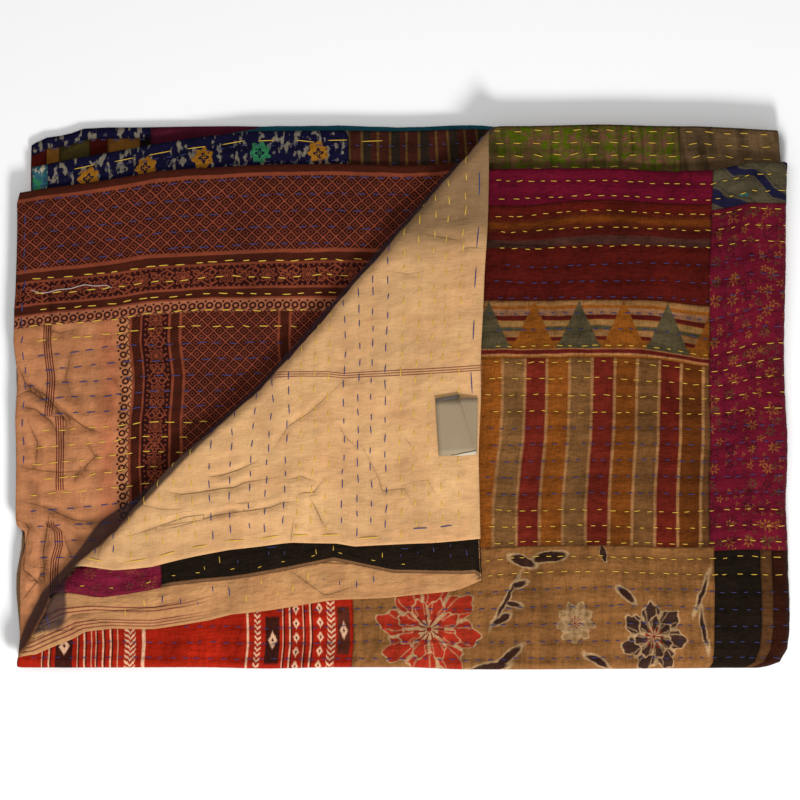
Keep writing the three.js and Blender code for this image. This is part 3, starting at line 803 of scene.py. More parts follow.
class Loom:
    """One material's node tree, and the words that patterns are written in."""

    def __init__(self, name: str) -> None:
        """Starts an empty material."""
        self.material = bpy.data.materials.new(name)
        self.material.use_nodes = True
        self.tree = self.material.node_tree
        self.tree.nodes.clear()

    def add(self, kind: str, inputs: dict | None = None, **settings: object) -> bpy.types.Node:
        """Adds a node with its settings, and sets or links its inputs.

        Args:
            kind: the node's type without its prefix.
            inputs: values, fields or sockets by the input's name or number.
            settings: the node's own properties.

        Returns:
            The node.
        """
        node = self.tree.nodes.new("ShaderNode" + kind)
        for key, value in settings.items():
            setattr(node, key, value)
        for key, value in (inputs or {}).items():
            value = value.socket if isinstance(value, Field) else value
            if isinstance(value, bpy.types.NodeSocket):
                self.tree.links.new(value, node.inputs[key])
            else:
                node.inputs[key].default_value = value
        return node

    def flat(self) -> tuple["Field", "Field"]:
        """The cloth's flat coordinates u and v in millimetres."""
        uv = self.add("UVMap", uv_map="FlatCloth")
        parts = self.add("SeparateXYZ", {0: uv.outputs[0]})
        return Field(self, parts.outputs[0]) * PER_METRE, Field(self, parts.outputs[1]) * PER_METRE

    def attribute(self, name: str) -> "Field":
        """A number kept on the mesh."""
        return Field(self, self.add("Attribute", attribute_name=name).outputs["Fac"])

    def uneven(self, u: "Field", v: "Field", size_u: float, size_v: float, seed: float,
               detail: float = 1.5) -> "Field":
        """Cloudy unevenness from about -1 to 1, its patches size_u by size_v millimetres."""
        at = self.add("CombineXYZ", {0: u / size_u, 1: v / size_v, 2: seed * 7.3})
        cloud = self.add("TexNoise", {"Vector": at.outputs[0], "Scale": 1.0, "Detail": detail})
        return (Field(self, cloud.outputs[0]) - 0.5) * 3.2

    def cells(self, a: "Field", b: "Field", size: float, jitter: float,
              seed: float) -> tuple["Field", "Field", "Field"]:
        """Scatters a figure: one at an uneven place in each square cell.

        Args:
            a, b: where on the cloth.
            size: the cells' side.
            jitter: how far the figures may lie from the cells' middles.
            seed: which random places.

        Returns:
            The distances from the cell's figure both ways, and the cell's random number.
        """
        i, j = (a / size).math("FLOOR"), (b / size).math("FLOOR")
        at = self.add("CombineXYZ", {0: i, 1: j, 2: seed * 3.7})
        white = self.add("TexWhiteNoise", {"Vector": at.outputs[0]}, noise_dimensions="3D")
        parts = self.add("SeparateXYZ", {0: white.outputs["Color"]})
        p = a - (i + 0.5) * size - (Field(self, parts.outputs[0]) - 0.5) * jitter
        q = b - (j + 0.5) * size - (Field(self, parts.outputs[1]) - 0.5) * jitter
        return p, q, Field(self, parts.outputs[2])

    def inked(self, base: object, *layers: tuple["Field", object]) -> object:
        """Lays inks over a base colour, each where its mask is 1.

        Args:
            base: a hex code or a colour socket.
            layers: pairs of a mask and a hex code or colour socket.

        Returns:
            The colour socket.
        """
        colour = srgb(base) if isinstance(base, str) else base
        for mask, ink in layers:
            ink = srgb(ink) if isinstance(ink, str) else ink
            node = self.add("Mix", {0: mask, 6: colour, 7: ink}, data_type="RGBA")
            colour = node.outputs[2]
        return colour

    def shaded(self, colour: object, factor: "Field") -> object:
        """A colour made lighter or darker by a factor."""
        node = self.add("VectorMath", {"Scale": factor}, operation="SCALE")
        if isinstance(colour, tuple):
            node.inputs[0].default_value = colour[:3]
        else:
            self.tree.links.new(colour, node.inputs[0])
        return node.outputs[0]

    def finished(self, colour: object, height: "Field", roughness: "Field | float",
                 **settings: float) -> bpy.types.Material:
        """Ends the tree in a principled shader with a bump in millimetres."""
        bump = self.add("Bump", {"Height": height, "Distance": MM, "Strength": 0.9})
        inputs = {"Base Color": colour, "Roughness": roughness, "Normal": bump.outputs[0]}
        inputs.update({key.replace("_", " "): value for key, value in settings.items()})
        shader = self.add("BsdfPrincipled", inputs)
        self.add("OutputMaterial", {0: shader.outputs[0]})
        return self.material


class Field:
    """A number that varies over the cloth. Arithmetic on it adds Math nodes."""

    def __init__(self, loom: Loom, socket: bpy.types.NodeSocket) -> None:
        """Wraps an output socket."""
        self.loom = loom
        self.socket = socket

    def math(self, operation: str, *others: object, clamp: bool = False) -> "Field":
        """Result of a Math node on this field and others."""
        inputs = {k: value for k, value in enumerate((self, *others))}
        node = self.loom.add("Math", inputs, operation=operation, use_clamp=clamp)
        return Field(self.loom, node.outputs[0])

    def __add__(self, other: object) -> "Field":
        """Sum."""
        return self.math("ADD", other)

    __radd__ = __add__

    def __sub__(self, other: object) -> "Field":
        """Difference."""
        return self.math("SUBTRACT", other)

    def __rsub__(self, other: float) -> "Field":
        """Difference from a number."""
        return (self * -1).math("ADD", other)

    def __mul__(self, other: object) -> "Field":
        """Product."""
        return self.math("MULTIPLY", other)

    __rmul__ = __mul__

    def __truediv__(self, other: object) -> "Field":
        """Quotient."""
        return self.math("DIVIDE", other)

    def __abs__(self) -> "Field":
        """Size without its sign."""
        return self.math("ABSOLUTE")

    def most(self, other: object) -> "Field":
        """The larger of two."""
        return self.math("MAXIMUM", other)

    def wave(self, period: float) -> "Field":
        """Sine of the field with a period."""
        return (self * (2 * math.pi / period)).math("SINE")

    def repeat(self, period: float) -> "Field":
        """The field folded into steps of a period, from minus half of it to half of it."""
        return self.math("WRAP", period / 2, -period / 2)

    def above(self, edge: float, soft: float = 0.7) -> "Field":
        """1 above an edge and 0 below it, over a soft width."""
        return ((self - edge) / soft + 0.5).math("MAXIMUM", 0.0).math("MINIMUM", 1.0)

    def below(self, edge: float, soft: float = 0.7) -> "Field":
        """1 below an edge and 0 above it, over a soft width."""
        return ((edge - self) / soft + 0.5).math("MAXIMUM", 0.0).math("MINIMUM", 1.0)

    def within(self, low: float, high: float, soft: float = 0.7) -> "Field":
        """1 between two edges."""
        middle, reach = (low + high) / 2, (high - low) / 2
        return abs(self - middle).below(reach, soft)


def radius_of(a: Field, b: Field) -> Field:
    """Distance of two fields from zero."""
    return (a * a + b * b).math("SQRT")


def blossom(a: Field, b: Field, radius: float, petals: int, notch: float = 0.3, turn: float = 0.0) -> Field:
    """How far inside a flower's outline a place is: radius times a wavy rim, less the distance."""
    rim = ((b.math("ARCTAN2", a) * petals + turn).math("COSINE") * notch + (1 - notch)) * radius
    return rim - radius_of(a, b)


@dataclass(frozen=True)
class Cotton:
    """Worn plain-weave cotton: matt, with faint slubs both ways and slow fading.

    Real threads lie 0.4 mm apart, too fine to show, so the slubs are drawn 1.2 mm wide. The
    shares seam, crease and fold say how much darker those places are painted: painted shade along
    seams, in creases and on the slanted fold's shaded side. valley paints shade in the quilting's
    valleys and light on its crests, and the crumples' share does the same for their hollows and tops.
    """

    name: str
    ground: str = "#808080"
    slub: float = 0.13
    fading: float = 0.15
    roughness: float = 0.9
    sheen: float = 0.01
    crumple: float = 1.6
    # Share of painted shade in the quilting's valleys and of painted light on its crests, by the Relief
    # number
    valley: float = 0.32
    # Shares of painted shade: the shadow line along a seam and the hollow of a crease
    seam: float = 0.5
    crease: float = 0.5
    # Share and ink of the painted shade on the slanted fold's shaded side and in a band beside it
    fold: float = 0.84
    fold_shade_ink: str = "#33262B"

    def pattern(self, loom: Loom, u: Field, v: Field) -> object:
        """Colour of the cloth before wear.

        Args:
            loom: the material's node tree.
            u, v: the cloth's flat coordinates.

        Returns:
            A colour or a colour socket.
        """
        return srgb(self.ground)

    def material(self) -> bpy.types.Material:
        """Builds the material: pattern, slubs, fading and fine crumples, with painted shade and light on
        the crumples and on the quilting's valleys and crests, and painted shade along seams, in creases
        and at the slanted fold.
        """
        loom = Loom(self.name)
        u, v = loom.flat()
        slubs = loom.uneven(u, v, 1.2, 7, 1) + loom.uneven(u, v, 7, 1.2, 2)
        fading = loom.uneven(u, v, 34, 28, 3, 3)
        relief = loom.attribute("Relief")
        seam = loom.attribute("Border").below(0.8, 1.6)
        strength = loom.attribute("CreaseDepth").math("MINIMUM", 1.2)
        crease = abs(loom.attribute("CreaseGap")).below(0.35, 0.9) * strength
        crumples = loom.uneven(u, v, 4.2, 11, 4, 2) + loom.uneven(u, v, 13, 6, 5, 2)
        # The crumples' share is painted shade in their hollows and painted light on their tops
        shade = 1 + slubs * self.slub + fading * self.fading + crumples * 0.055
        # Painted shade in the quilting's valleys and painted light on its crests
        shade = shade * (1 + (relief.math("MINIMUM", 0.6)) * self.valley)
        # Painted shade along the seams and in the creases
        shade = shade * (1 - seam * self.seam) * (1 - crease * self.crease)
        # Painted shade of the slanted fold: its shaded side and a band beside it, darkest at its tip
        fold = loom.attribute("ShadeGap").below(0.3, 1.8) * self.fold
        colour = loom.shaded(self.pattern(loom, u, v), shade.math("MAXIMUM", 0.05))
        colour = loom.inked(colour, (fold, self.fold_shade_ink))
        crinkle = loom.uneven(u, v, 2.1, 3.4, 6, 2)
        height = slubs * 0.06 + (crumples * 0.4 + crinkle * 0.16) * self.crumple - seam * 0.3 - crease * 0.5
        return loom.finished(
            colour, height, self.roughness,
            Sheen_Weight=self.sheen, Sheen_Roughness=0.5, Specular_IOR_Level=0.05,
        )


@dataclass(frozen=True)
class BandedRed(Cotton):
    """Dark red cotton with bands of maroon, ochre-brown and grey-mauve above."""

    base: float = 0.0

    def pattern(self, loom: Loom, u: Field, v: Field) -> object:
        """Bands by the height over the patch's near edge, their borders a little uneven."""
        h = v - self.base + loom.uneven(u, v, 34, 20, 11) * 0.9
        streak = loom.uneven(u, v, 45, 1.6, 12)
        red = loom.inked(self.ground, (streak.within(0.7, 2.0, 0.5) * 0.4, "#5E180E"))
        return loom.inked(
            red,
            (h.within(43.3, 49.8), "#3B2019"), (h.within(49.8, 56.4), "#40100A"),
            (h.within(56.4, 68.7), "#461809"), (h.within(60, 65, 3), "#5A2A08"),
            (h.above(68.7), "#4A1109"),
        )


@dataclass(frozen=True)
class TempleBorder(Cotton):
    """Fine cream, ochre, maroon and blue-grey lines behind a row of tall triangles."""

    base: float = 0.0
    phase: float = 414.4

    def pattern(self, loom: Loom, u: Field, v: Field) -> object:
        """Lines by height; triangles 37.6 mm apart, by turns ochre and grey-green."""
        h = v - self.base + loom.uneven(u, v, 22, 14, 11) * 0.7
        ochre, grey, cream, maroon = "#733F10", "#443B27", "#7C5530", "#46110B"
        lines = loom.inked(
            ochre,
            (h.within(43, 47.5), cream), (h.within(35, 40.4), "#7B5439"), (h.within(31.3, 35), maroon),
            (h.within(26.2, 30.9), "#7A5830"), (h.within(23, 25.8), "#403C2A"),
            (h.within(17.4, 22.5), cream), (h.within(14.3, 17.4), maroon),
        )
        half = (45.5 - h) * 0.47 + 0.6
        step = abs((u - self.phase).repeat(37.6))
        triangle = (half - step).above(0, 1.0) * h.above(7.5)
        other = abs((u - self.phase).repeat(75.2)).above(18.8, 0.5)
        tall = loom.inked(lines, (triangle * (1 - other), ochre), (triangle * other, grey))
        foot = h.within(7.5, 12)
        tall = loom.inked(tall, (foot * other * 0.7, grey))
        return loom.inked(
            tall, (h.below(7.5), "#8C5E38"), (h.within(3.4, 6.7), "#52140E"), (h.below(2.4), "#8C5E38"),
            (h.below(1.6), ochre),
        )


@dataclass(frozen=True)
class CanvasStripes(Cotton):
    """Broad ochre, grey-green and red stripes with thin pale lines between them."""

    phase: float = 388.4

    def pattern(self, loom: Loom, u: Field, v: Field) -> object:
        """Stripes 18.8 mm wide, three colours in turn, leaning a little."""
        s = (u - self.phase - (v - 670) * 0.018 + loom.uneven(u, v, 30, 60, 11) * 0.5) / 18.84
        third = s.math("WRAP", 3.0, 0.0)
        dim = (u - 380) / 190
        ochre = loom.inked("#794113", (dim.above(0.5, 0.8), "#4C2408"))
        grey = loom.inked("#694726", (dim.above(0.6, 0.8), "#553419"))
        red = loom.inked("#5F1C11", (dim.above(0.7, 0.7), "#4A130A"))
        colour = loom.inked(ochre, (third.below(1, 0.05), grey), (third.within(1, 2, 0.05), red))
        line = abs(s.repeat(1)).below(0.065, 0.05)
        return loom.inked(colour, (line * 0.85, "#89603A"))


@dataclass(frozen=True)
class SprigPrint(Cotton):
    """Small scattered flowers in three inks on a plain ground, a common block print."""

    inks: tuple[str, str, str] = ("#7C4E1C", "#42381A", "#240C10")
    strength: float = 0.85

    def pattern(self, loom: Loom, u: Field, v: Field) -> object:
        """Flowers of dabbed petals, one to a cell and some cells bare, with specks between them."""
        a = u + loom.uneven(u, v, 9, 9, 11) * 0.8
        b = v + loom.uneven(u, v, 9, 9, 12) * 0.8
        broken = loom.uneven(u, v, 2.4, 2.4, 13).above(-0.7, 0.8) * self.strength
        colour = srgb(self.ground)
        for size, radius, petals, seed in ((15.5, 4.8, 7, 5), (12.0, 3.2, 5, 9), (7.0, 1.7, 3, 14)):
            p, q, chance = loom.cells(a, b, size, size - 2 * radius, seed)
            flower = blossom(p, q, radius, petals, 0.42).above(0, 0.7)
            flower = flower * radius_of(p, q).above(radius * 0.3, 0.7) * broken
            colour = loom.inked(
                colour, (flower * chance.within(0.3, 0.62, 0.01), self.inks[0]),
                (flower * chance.within(0.62, 0.84, 0.01), self.inks[1]),
                (flower * chance.above(0.84, 0.01), self.inks[2]),
            )
        streak = loom.uneven(u, v, 5, 60, 15).above(0.3, 1.2) * 0.3
        return loom.inked(colour, (streak, "#4A0E20"))


@dataclass(frozen=True)
class BlotchPrint(Cotton):
    """Dark cotton with many pale upright blotches and ring flowers, an ordinary floral print."""

    blotch: str = "#6C6456"
    ring: str = "#8A5A14"
    other_ring: str = "#2A6A44"
    first: float = 1159.6
    middle_v: float = 17.0
    seed: int = 41

    def pattern(self, loom: Loom, u: Field, v: Field) -> object:
        """Blotches where noise is in a band; rings of petals 47.5 mm apart, by turns in two colours."""
        n = loom.uneven(u, v, 4.6, 8, self.seed, 2.5)
        blots = n.within(0.25, 0.95, 0.2).most(loom.uneven(u, v, 3.4, 6, self.seed + 2, 2).above(0.95, 0.2))
        a = u + loom.uneven(u, v, 10, 10, 12) * 1.6
        b = v - self.middle_v + loom.uneven(u, v, 12, 12, 13) * 1.6
        p, q = (a - self.first).repeat(47.5), b.repeat(38)
        ring = blossom(p, q, 9.0, 7, 0.12).above(0, 1.0)
        eye = blossom(p, q, 4.2, 4, 0.25).within(0, 2.0, 0.6)
        other = abs((a - self.first - 95).repeat(190)).below(23, 0.5)
        colour = loom.inked(self.ground, (blots, self.blotch))
        colour = loom.inked(colour, (ring * (1 - other), self.ring), (ring * other, self.other_ring))
        hatch = loom.uneven(u, v, 2.2, 2.2, 14).above(0.5, 0.3) * ring * 0.8
        return loom.inked(colour, (hatch, self.ground), (eye, self.ground))


@dataclass(frozen=True)
class VinePrint(Cotton):
    """Green cotton with pinkish trailing vines, and painted shade in its pleats."""

    vine: str = "#5E3A2C"

    def pattern(self, loom: Loom, u: Field, v: Field) -> object:
        """Vines as thin bands of slow noise and small blossoms; the pleats' painted shade as dark upright
        streaks.
        """
        n = loom.uneven(u, v, 15, 19, 11, 4)
        vines = n.within(-0.14, 0.14, 0.3).most(loom.uneven(u, v, 12, 9, 15, 4).within(-0.1, 0.12, 0.2))
        p, q, _ = loom.cells(u + n * 3, v + n * 3, 17, 6, 4)
        flower = blossom(p, q, 5.4, 5, 0.35).above(0, 1.5)
        pleat_shade = loom.uneven(u, v, 5.5, 60, 13).below(-0.35, 0.8) * 0.6
        tufts = flower.most(vines * 0.85) * loom.uneven(u, v, 3, 3, 14).above(-0.5, 0.8)
        colour = loom.inked(self.ground, (tufts, self.vine))
        return loom.inked(colour, (pleat_shade, "#23240A"))


@dataclass(frozen=True)
class Gathered(Cotton):
    """Plain cotton drawn into upright gathers, with painted shade in the creases between them and
    painted light on the gathers.
    """

    def pattern(self, loom: Loom, u: Field, v: Field) -> object:
        """Painted shade as dark streaks along v where noise stretched that way is low, and painted light
        as pale streaks where another such noise is high.
        """
        lean = u + (v - 1650) * 0.12
        # Painted shade in the creases and painted light on the gathers
        folds = loom.uneven(lean, v, 9, 70, 13).below(-0.35, 0.7) * 0.6
        light = loom.uneven(lean, v, 7, 60, 14).above(0.5, 0.8) * 0.4
        return loom.inked(self.ground, (light, "#7A6244"), (folds, "#2A1E12"))


@dataclass(frozen=True)
class Stroke:
    """A petal or leaf of a large printed flower: an ellipse at u, v of two half sizes, turned."""

    u: float
    v: float
    long: float
    wide: float
    degrees: float


@dataclass(frozen=True)
class Bloom:
    """A large printed flower at u, v, with its petals, its ink and how far they are turned."""

    u: float
    v: float
    radius: float
    petals: int
    ink: str
    turn: float = 0.0


@dataclass(frozen=True)
class LargeFlowers(Cotton):
    """Taupe cotton with large loose flowers and leaf sprays, outlined in cream.

    The flowers are ordinary ones of this script's own layout.
    """

    strokes: tuple[Stroke, ...] = ()
    blooms: tuple[Bloom, ...] = ()
    ink: str = "#2E1A14"
    outline: str = "#9A7A56"

    def pattern(self, loom: Loom, u: Field, v: Field) -> object:
        """Dark leaves in ellipses with cream round them, then the flowers over them."""
        a = u + loom.uneven(u, v, 8, 8, 11, 2.5) * 1.5
        b = v + loom.uneven(u, v, 8, 8, 12, 2.5) * 1.5
        nearest = None
        for s in self.strokes:
            c, d = math.cos(math.radians(s.degrees)), math.sin(math.radians(s.degrees))
            p, q = ((a - s.u) * c + (b - s.v) * d), ((b - s.v) * c - (a - s.u) * d)
            reach = (1 - radius_of(p / s.long, q / s.wide)) * s.wide
            nearest = reach if nearest is None else nearest.most(reach)
        colour = loom.inked(self.ground, (nearest.above(-1.2, 0.9), self.outline))
        vein = loom.uneven(u, v, 2.6, 2.6, 13, 3).above(0.9, 0.3)
        colour = loom.inked(
            colour, (nearest.above(0, 0.9), self.ink), (nearest.above(1.2) * vein, self.outline)
        )
        for bloom in self.blooms:
            colour = self.bloomed(loom, a, b, colour, bloom)
        shadow = loom.uneven(u, v, 3.4, 42, 14).below(-0.4, 0.9) * 0.35
        return loom.inked(colour, (shadow, "#43290F"))

    def bloomed(self, loom: Loom, a: Field, b: Field, colour: object, bloom: Bloom) -> object:
        """Lays two rounds of ruffled petals, parted by cream lines that swirl, about a rayed heart.

        Args:
            loom: the material's node tree.
            a, b: where on the cloth, a little uneven.
            colour: what lies under the flower.
            bloom: the flower.

        Returns:
            The colour socket.
        """
        p, q = a - bloom.u, b - bloom.v
        away = radius_of(p, q)
        angle = q.math("ARCTAN2", p)
        for share, turn, lines in ((1.0, bloom.turn, 1.0), (0.6, bloom.turn + 1.9, 0.8)):
            size = bloom.radius * share
            swirl = angle * bloom.petals + turn + away * (0.9 / bloom.radius)
            lobes = (swirl.math("COSINE") * 0.13 + 0.87 + (swirl * 3.1).math("SINE") * 0.035) * size
            inside = lobes - away
            parted = (swirl.math("COSINE") + 1).math("SQRT") * away * (0.7 / bloom.petals)
            lines_here = parted.below(0.75 * lines, 0.7) * away.above(size * 0.22, 2)
            ribs = ((swirl * 2).math("COSINE") + 1).math("SQRT") * away * (0.5 / bloom.petals)
            ribs = ribs.below(0.35, 0.5) * away.within(size * 0.5, size * 0.85, 2) * 0.6
            colour = loom.inked(
                colour, (inside.above(-1.4, 0.9), self.outline), (inside.above(0, 0.9), bloom.ink),
                (inside.above(0, 0.9) * lines_here.most(ribs), self.outline),
            )
        rays = ((angle * 11).math("COSINE")).above(0.4, 0.4)
        heart = bloom.radius * 0.2
        return loom.inked(
            colour, (away.below(heart, 1), self.outline),
            (away.within(heart * 0.3, heart * 1.5) * rays, "#6E1E14"), (away.below(heart * 0.25), "#6E1E14"),
        )


class Figure(Enum):
    """Figures that a woven column repeats."""

    PLAIN = "plain"
    LINES = "lines"
    CHEVRON = "chevron"
    FLAME = "flame"
    DIAMOND = "diamond"


@dataclass(frozen=True)
class Column:
    """A woven column from one u to another in an ink, with a figure repeated up it."""

    low: float
    high: float
    ink: str
    figure: Figure = Figure.PLAIN
    phase: float = 0.0


@dataclass(frozen=True)
class WarpIkat(Cotton):
    """Red warp ikat: upright columns of lines, chevrons, flames and diamonds with feathered edges."""

    columns: tuple[Column, ...] = ()
    cream: str = "#C79A7A"
    dark: str = "#2E100C"

    def pattern(self, loom: Loom, u: Field, v: Field) -> object:
        """Columns in turn, each with its figure; upright feathering comes from shifting v by thread."""
        a = u + loom.uneven(u, v, 20, 50, 11) * 0.5
        b = v + loom.uneven(u, v, 0.9, 200, 12) * 1.2
        colour = loom.inked(self.ground, (loom.uneven(u, v, 3, 70, 13).above(0.2, 1.2) * 0.3, "#74160B"))
        for column in self.columns:
            middle, half = (column.low + column.high) / 2, (column.high - column.low) / 2
            here = a.within(column.low, column.high, 0.8)
            off = abs(a - middle)
            if column.figure is Figure.LINES:
                step = (a - column.low).repeat(6.0)
                layers = ((here * abs(step - 1.4).below(0.55, 0.6), self.dark),
                          (here * abs(step).below(0.6, 0.7), self.cream))
            elif column.figure is Figure.CHEVRON:
                marks = (b - off * 1.0).repeat(4.6).above(0.1, 1.0) * off.below(half * 0.8, 0.8)
                layers = ((here * marks, self.cream),)
            elif column.figure is Figure.FLAME:
                rise = abs((b - column.phase).repeat(56))
                marks = (rise * (half / 12) + off).below(half * 0.62, 1.4)
                core = (rise * (half / 9) + off).below(half * 0.2, 1.0)
                layers = ((here * rise.below(20, 2), column.ink), (here * marks, self.cream),
                          (here * core, self.dark))
            elif column.figure is Figure.DIAMOND:
                rise = abs(b.repeat(12.0))
                marks = (rise * 0.6 + off).below(half * 0.8, 1.0)
                core = (rise * 0.6 + off).below(half * 0.3, 0.8)
                layers = ((here * marks, self.cream), (here * core, column.ink))
            else:
                layers = ((here, column.ink),)
            colour = loom.inked(colour, *layers)
        return colour


@dataclass(frozen=True)
class Striped(Cotton):
    """Stripes of two or three inks along v, uneven in width, as on a sari's border."""

    second: str = "#402010"
    third: str = "#7A5A30"
    period: float = 18.0

    def pattern(self, loom: Loom, u: Field, v: Field) -> object:
        """Inks by how far along a repeat of the period a place is."""
        s = (u + loom.uneven(u, v, 8, 80, 11) * 0.6).repeat(self.period) / self.period
        return loom.inked(
            self.ground, (s.within(-0.5, -0.18, 0.06), self.second),
            (s.within(-0.2, -0.12, 0.04), self.third), (s.within(0.22, 0.3, 0.04), self.third),
        )


@dataclass(frozen=True)
class BandPrint(Cotton):
    """Pale cotton with broad dark wavering bands edged in a thin line, and small dark leaves."""

    band: str = "#1A1830"
    leaf: str = "#2E5A58"

    def pattern(self, loom: Loom, u: Field, v: Field) -> object:
        """Bands where a slanted coordinate repeats, bent by slow noise."""
        s = (u * 0.5 + v * 0.9 + loom.uneven(u, v, 28, 28, 11) * 7).repeat(24)
        bands = abs(s).below(3.2, 0.8)
        rim = abs(s).within(4.6, 5.6, 0.5)
        leaf = blossom((u + v * 0.4).repeat(26), (v + 6).repeat(31), 4.2, 2, 0.5).above(0, 0.8)
        return loom.inked(self.ground, (leaf, self.leaf), (rim, "#3A3428"), (bands, self.band))


@dataclass(frozen=True)
class TwoStrips(Cotton):
    """Teal cotton with a maroon strip sewn along it on the slant."""

    strip: str = "#3E0F1E"
    fold_v: float = 0.0

    def pattern(self, loom: Loom, u: Field, v: Field) -> object:
        """Maroon between the fold and a line that leaves it slowly."""
        edge = (u - 1065) * 0.15
        low = (edge - (v - self.fold_v)).above(0, 0.8) * u.above(1065)
        line = (v - self.fold_v).above(13, 0.8)
        return loom.inked(self.ground, (low, self.strip), (line, "#1E2A20"))


@dataclass(frozen=True)
class SariLining(Cotton):
    """Plain tan sari cotton with a printed border: lattice, dotted bands, vine and loops in maroon.

    The bands follow the cloth's end hem, and a second set follows the side hem further in.
    """

    line: str = "#763824"
    dark: str = "#2A0D0B"

    def pattern(self, loom: Loom, u: Field, v: Field) -> object:
        """Bands by distance from the end hem, then columns by distance from the side hem."""
        a = u + loom.uneven(u, v, 30, 30, 11) * 0.6
        b = v + loom.uneven(u, v, 30, 30, 12) * 0.6
        border = loom.inked(self.dark, (self.lattice(a, b, 10.6, 10.0), self.line))
        field = loom.inked(self.dark, (self.lattice(a, b, 9.6, 9.4), self.line))
        hatch = (a + b * 0.7).repeat(2.3).above(0.15, 0.9) * 0.42
        cross = (b - a * 0.7).repeat(2.3).above(0.15, 0.9) * 0.42
        dotted = loom.inked("#2C0D09", (hatch, "#663018"))
        dotted_up = loom.inked("#2C0D09", (cross, "#663018"))
        blush = loom.uneven(u, v, 26, 30, 15, 3).above(0.1, 1.2) * 0.25
        plain = loom.inked(self.ground, (blush, "#B5805C"), (a.within(70, 86, 12) * 0.6, "#A0583A"))
        tucked = a - 27.5 - v.within(200, 264, 1.5) * 9
        stripes = abs(tucked).below(3.6) * abs((tucked - 0.9).repeat(1.9)).below(0.5, 0.5)
        stripes = stripes * (1 - v.within(264, 290, 4))
        plain = loom.inked(plain, (stripes, "#54201C"))
        plain = loom.inked(plain, (self.loops(b, a - 89, 7.6), self.dark), (a.above(94.5), self.line),
                           (a.within(96.5, 103.5), dotted_up))
        vine = loom.inked(self.dark, (self.rosettes(b, a - 116, 31), self.line))
        plain = loom.inked(plain, (a.within(105, 126.5), vine), (a.within(128.5, 135.5), dotted_up),
                           (a.above(137.5), field))
        plain = loom.inked(plain, (a.within(214, 216), self.line), (a.within(216, 223), dotted_up),
                           (a.within(223, 225), self.line))
        band_vine = loom.inked(self.dark, (self.rosettes(a, b - 90, 34), self.line))
        looped = loom.inked("#94583C", (self.loops(a, b - 115, 6.9), self.dark))
        return loom.inked(
            plain, (b.below(120), looped), (b.below(109.5), self.line), (b.below(108), dotted),
            (b.below(101), self.line), (b.below(99), band_vine), (b.below(81), self.line),
            (b.below(79), dotted), (b.below(72), self.line), (b.below(69), border),
            (b.below(9.3), self.line), (b.below(6.3), dotted),
        )

    def lattice(self, a: Field, b: Field, across: float, along: float) -> Field:
        """Slanted lattice with a small diamond and a dot in each cell."""
        p = (a / across + b / along).repeat(1)
        q = (a / across - b / along).repeat(1)
        far = abs(p).most(abs(q))
        lines = far.above(0.425, 0.06)
        ring = far.within(0.15, 0.24, 0.06) * 0.8
        return lines.most(ring)

    def loops(self, a: Field, b: Field, period: float) -> Field:
        """A row of small rings linked by a wavy line, with dots between them."""
        away = radius_of(a.repeat(period), b)
        ring = away.within(1.3, 3.0, 0.8)
        link = abs(b - a.wave(period) * 1.4 - 4.6).below(0.7, 0.7)
        arch = radius_of((a + period / 2).repeat(period), b + 3.6).below(1.0, 0.8)
        return ring.most(link).most(arch)

    def rosettes(self, a: Field, b: Field, period: float) -> Field:
        """Round flowers between two wavy vines, with scrolls and leaves."""
        p = a.repeat(period)
        flower = blossom(p, b, 6.6, 8, 0.2)
        petals = flower.within(-1.0, 0.4, 0.6).most(blossom(p, b, 4.4, 8, 0.25).within(-0.5, 0.5, 0.6))
        petals = petals.most(blossom(p, b, 2.2, 6, 0.3).above(-0.4, 0.6))
        vine = abs(abs(b) - a.wave(period / 2) * 2.0 - 5.2).below(0.6, 0.7) * abs(p).above(6.5)
        scroll = abs(radius_of(abs(abs(p) - period * 0.31), abs(b) - 3.4) - 2.3).below(0.5, 0.7)
        other = (a + period / 2).repeat(period)
        leaf = blossom(abs(other) - 3.2, b, 3.4, 3, 0.4).within(-0.6, 0.7, 0.6)
        heart = blossom(other, b, 1.6, 4, 0.2).above(0, 0.6)
        dots = radius_of(a.repeat(4.4), abs(b) - 8.2).below(0.8, 0.7)
        return petals.most(vine).most(scroll).most(leaf).most(heart).most(dots)


@dataclass(frozen=True)
class PlainLining(Cotton):
    """Plain tan sari cotton, fine threads a little uneven, with thin woven lines along its length."""

    lines: tuple[tuple[float, float], ...] = ()
    lean: float = 0.0
    lean_from: float = 1669.0
    fade: float = 9999.0
    ink: str = "#6A2A28"
    blush: str = "#B98258"
    # Share of painted shade beyond u 263, towards the flap's top
    painted_top_shade: float = 0.0

    def pattern(self, loom: Loom, u: Field, v: Field) -> object:
        """Lines at u of a given width, leaning and fading along v, over slow clouds of a warmer tone, and
        painted shade darkening it beyond u 263, towards the flap's top.
        """
        a = u + loom.uneven(u, v, 26, 60, 11) * 0.5 + (v - self.lean_from) * self.lean
        clouds = loom.uneven(u, v, 30, 24, 12, 3).above(0.1, 1.4) * 0.5
        colour = loom.inked(self.ground, (clouds, self.blush))
        # Painted shade: darker beyond u 263, towards the flap's top
        colour = loom.inked(colour, (u.above(263, 30) * self.painted_top_shade, "#7C6042"))
        present = v.below(self.fade, 40) * 0.9
        for at, wide in self.lines:
            colour = loom.inked(colour, (abs(a - at).below(wide / 2, 0.5) * present, self.ink))
        return colour


@dataclass(frozen=True)
class Patch:
    """A patch of the patchwork on the flat cloth, with the finish that it wears."""

    finish: str
    u0: float
    u1: float
    v0: float
    v1: float


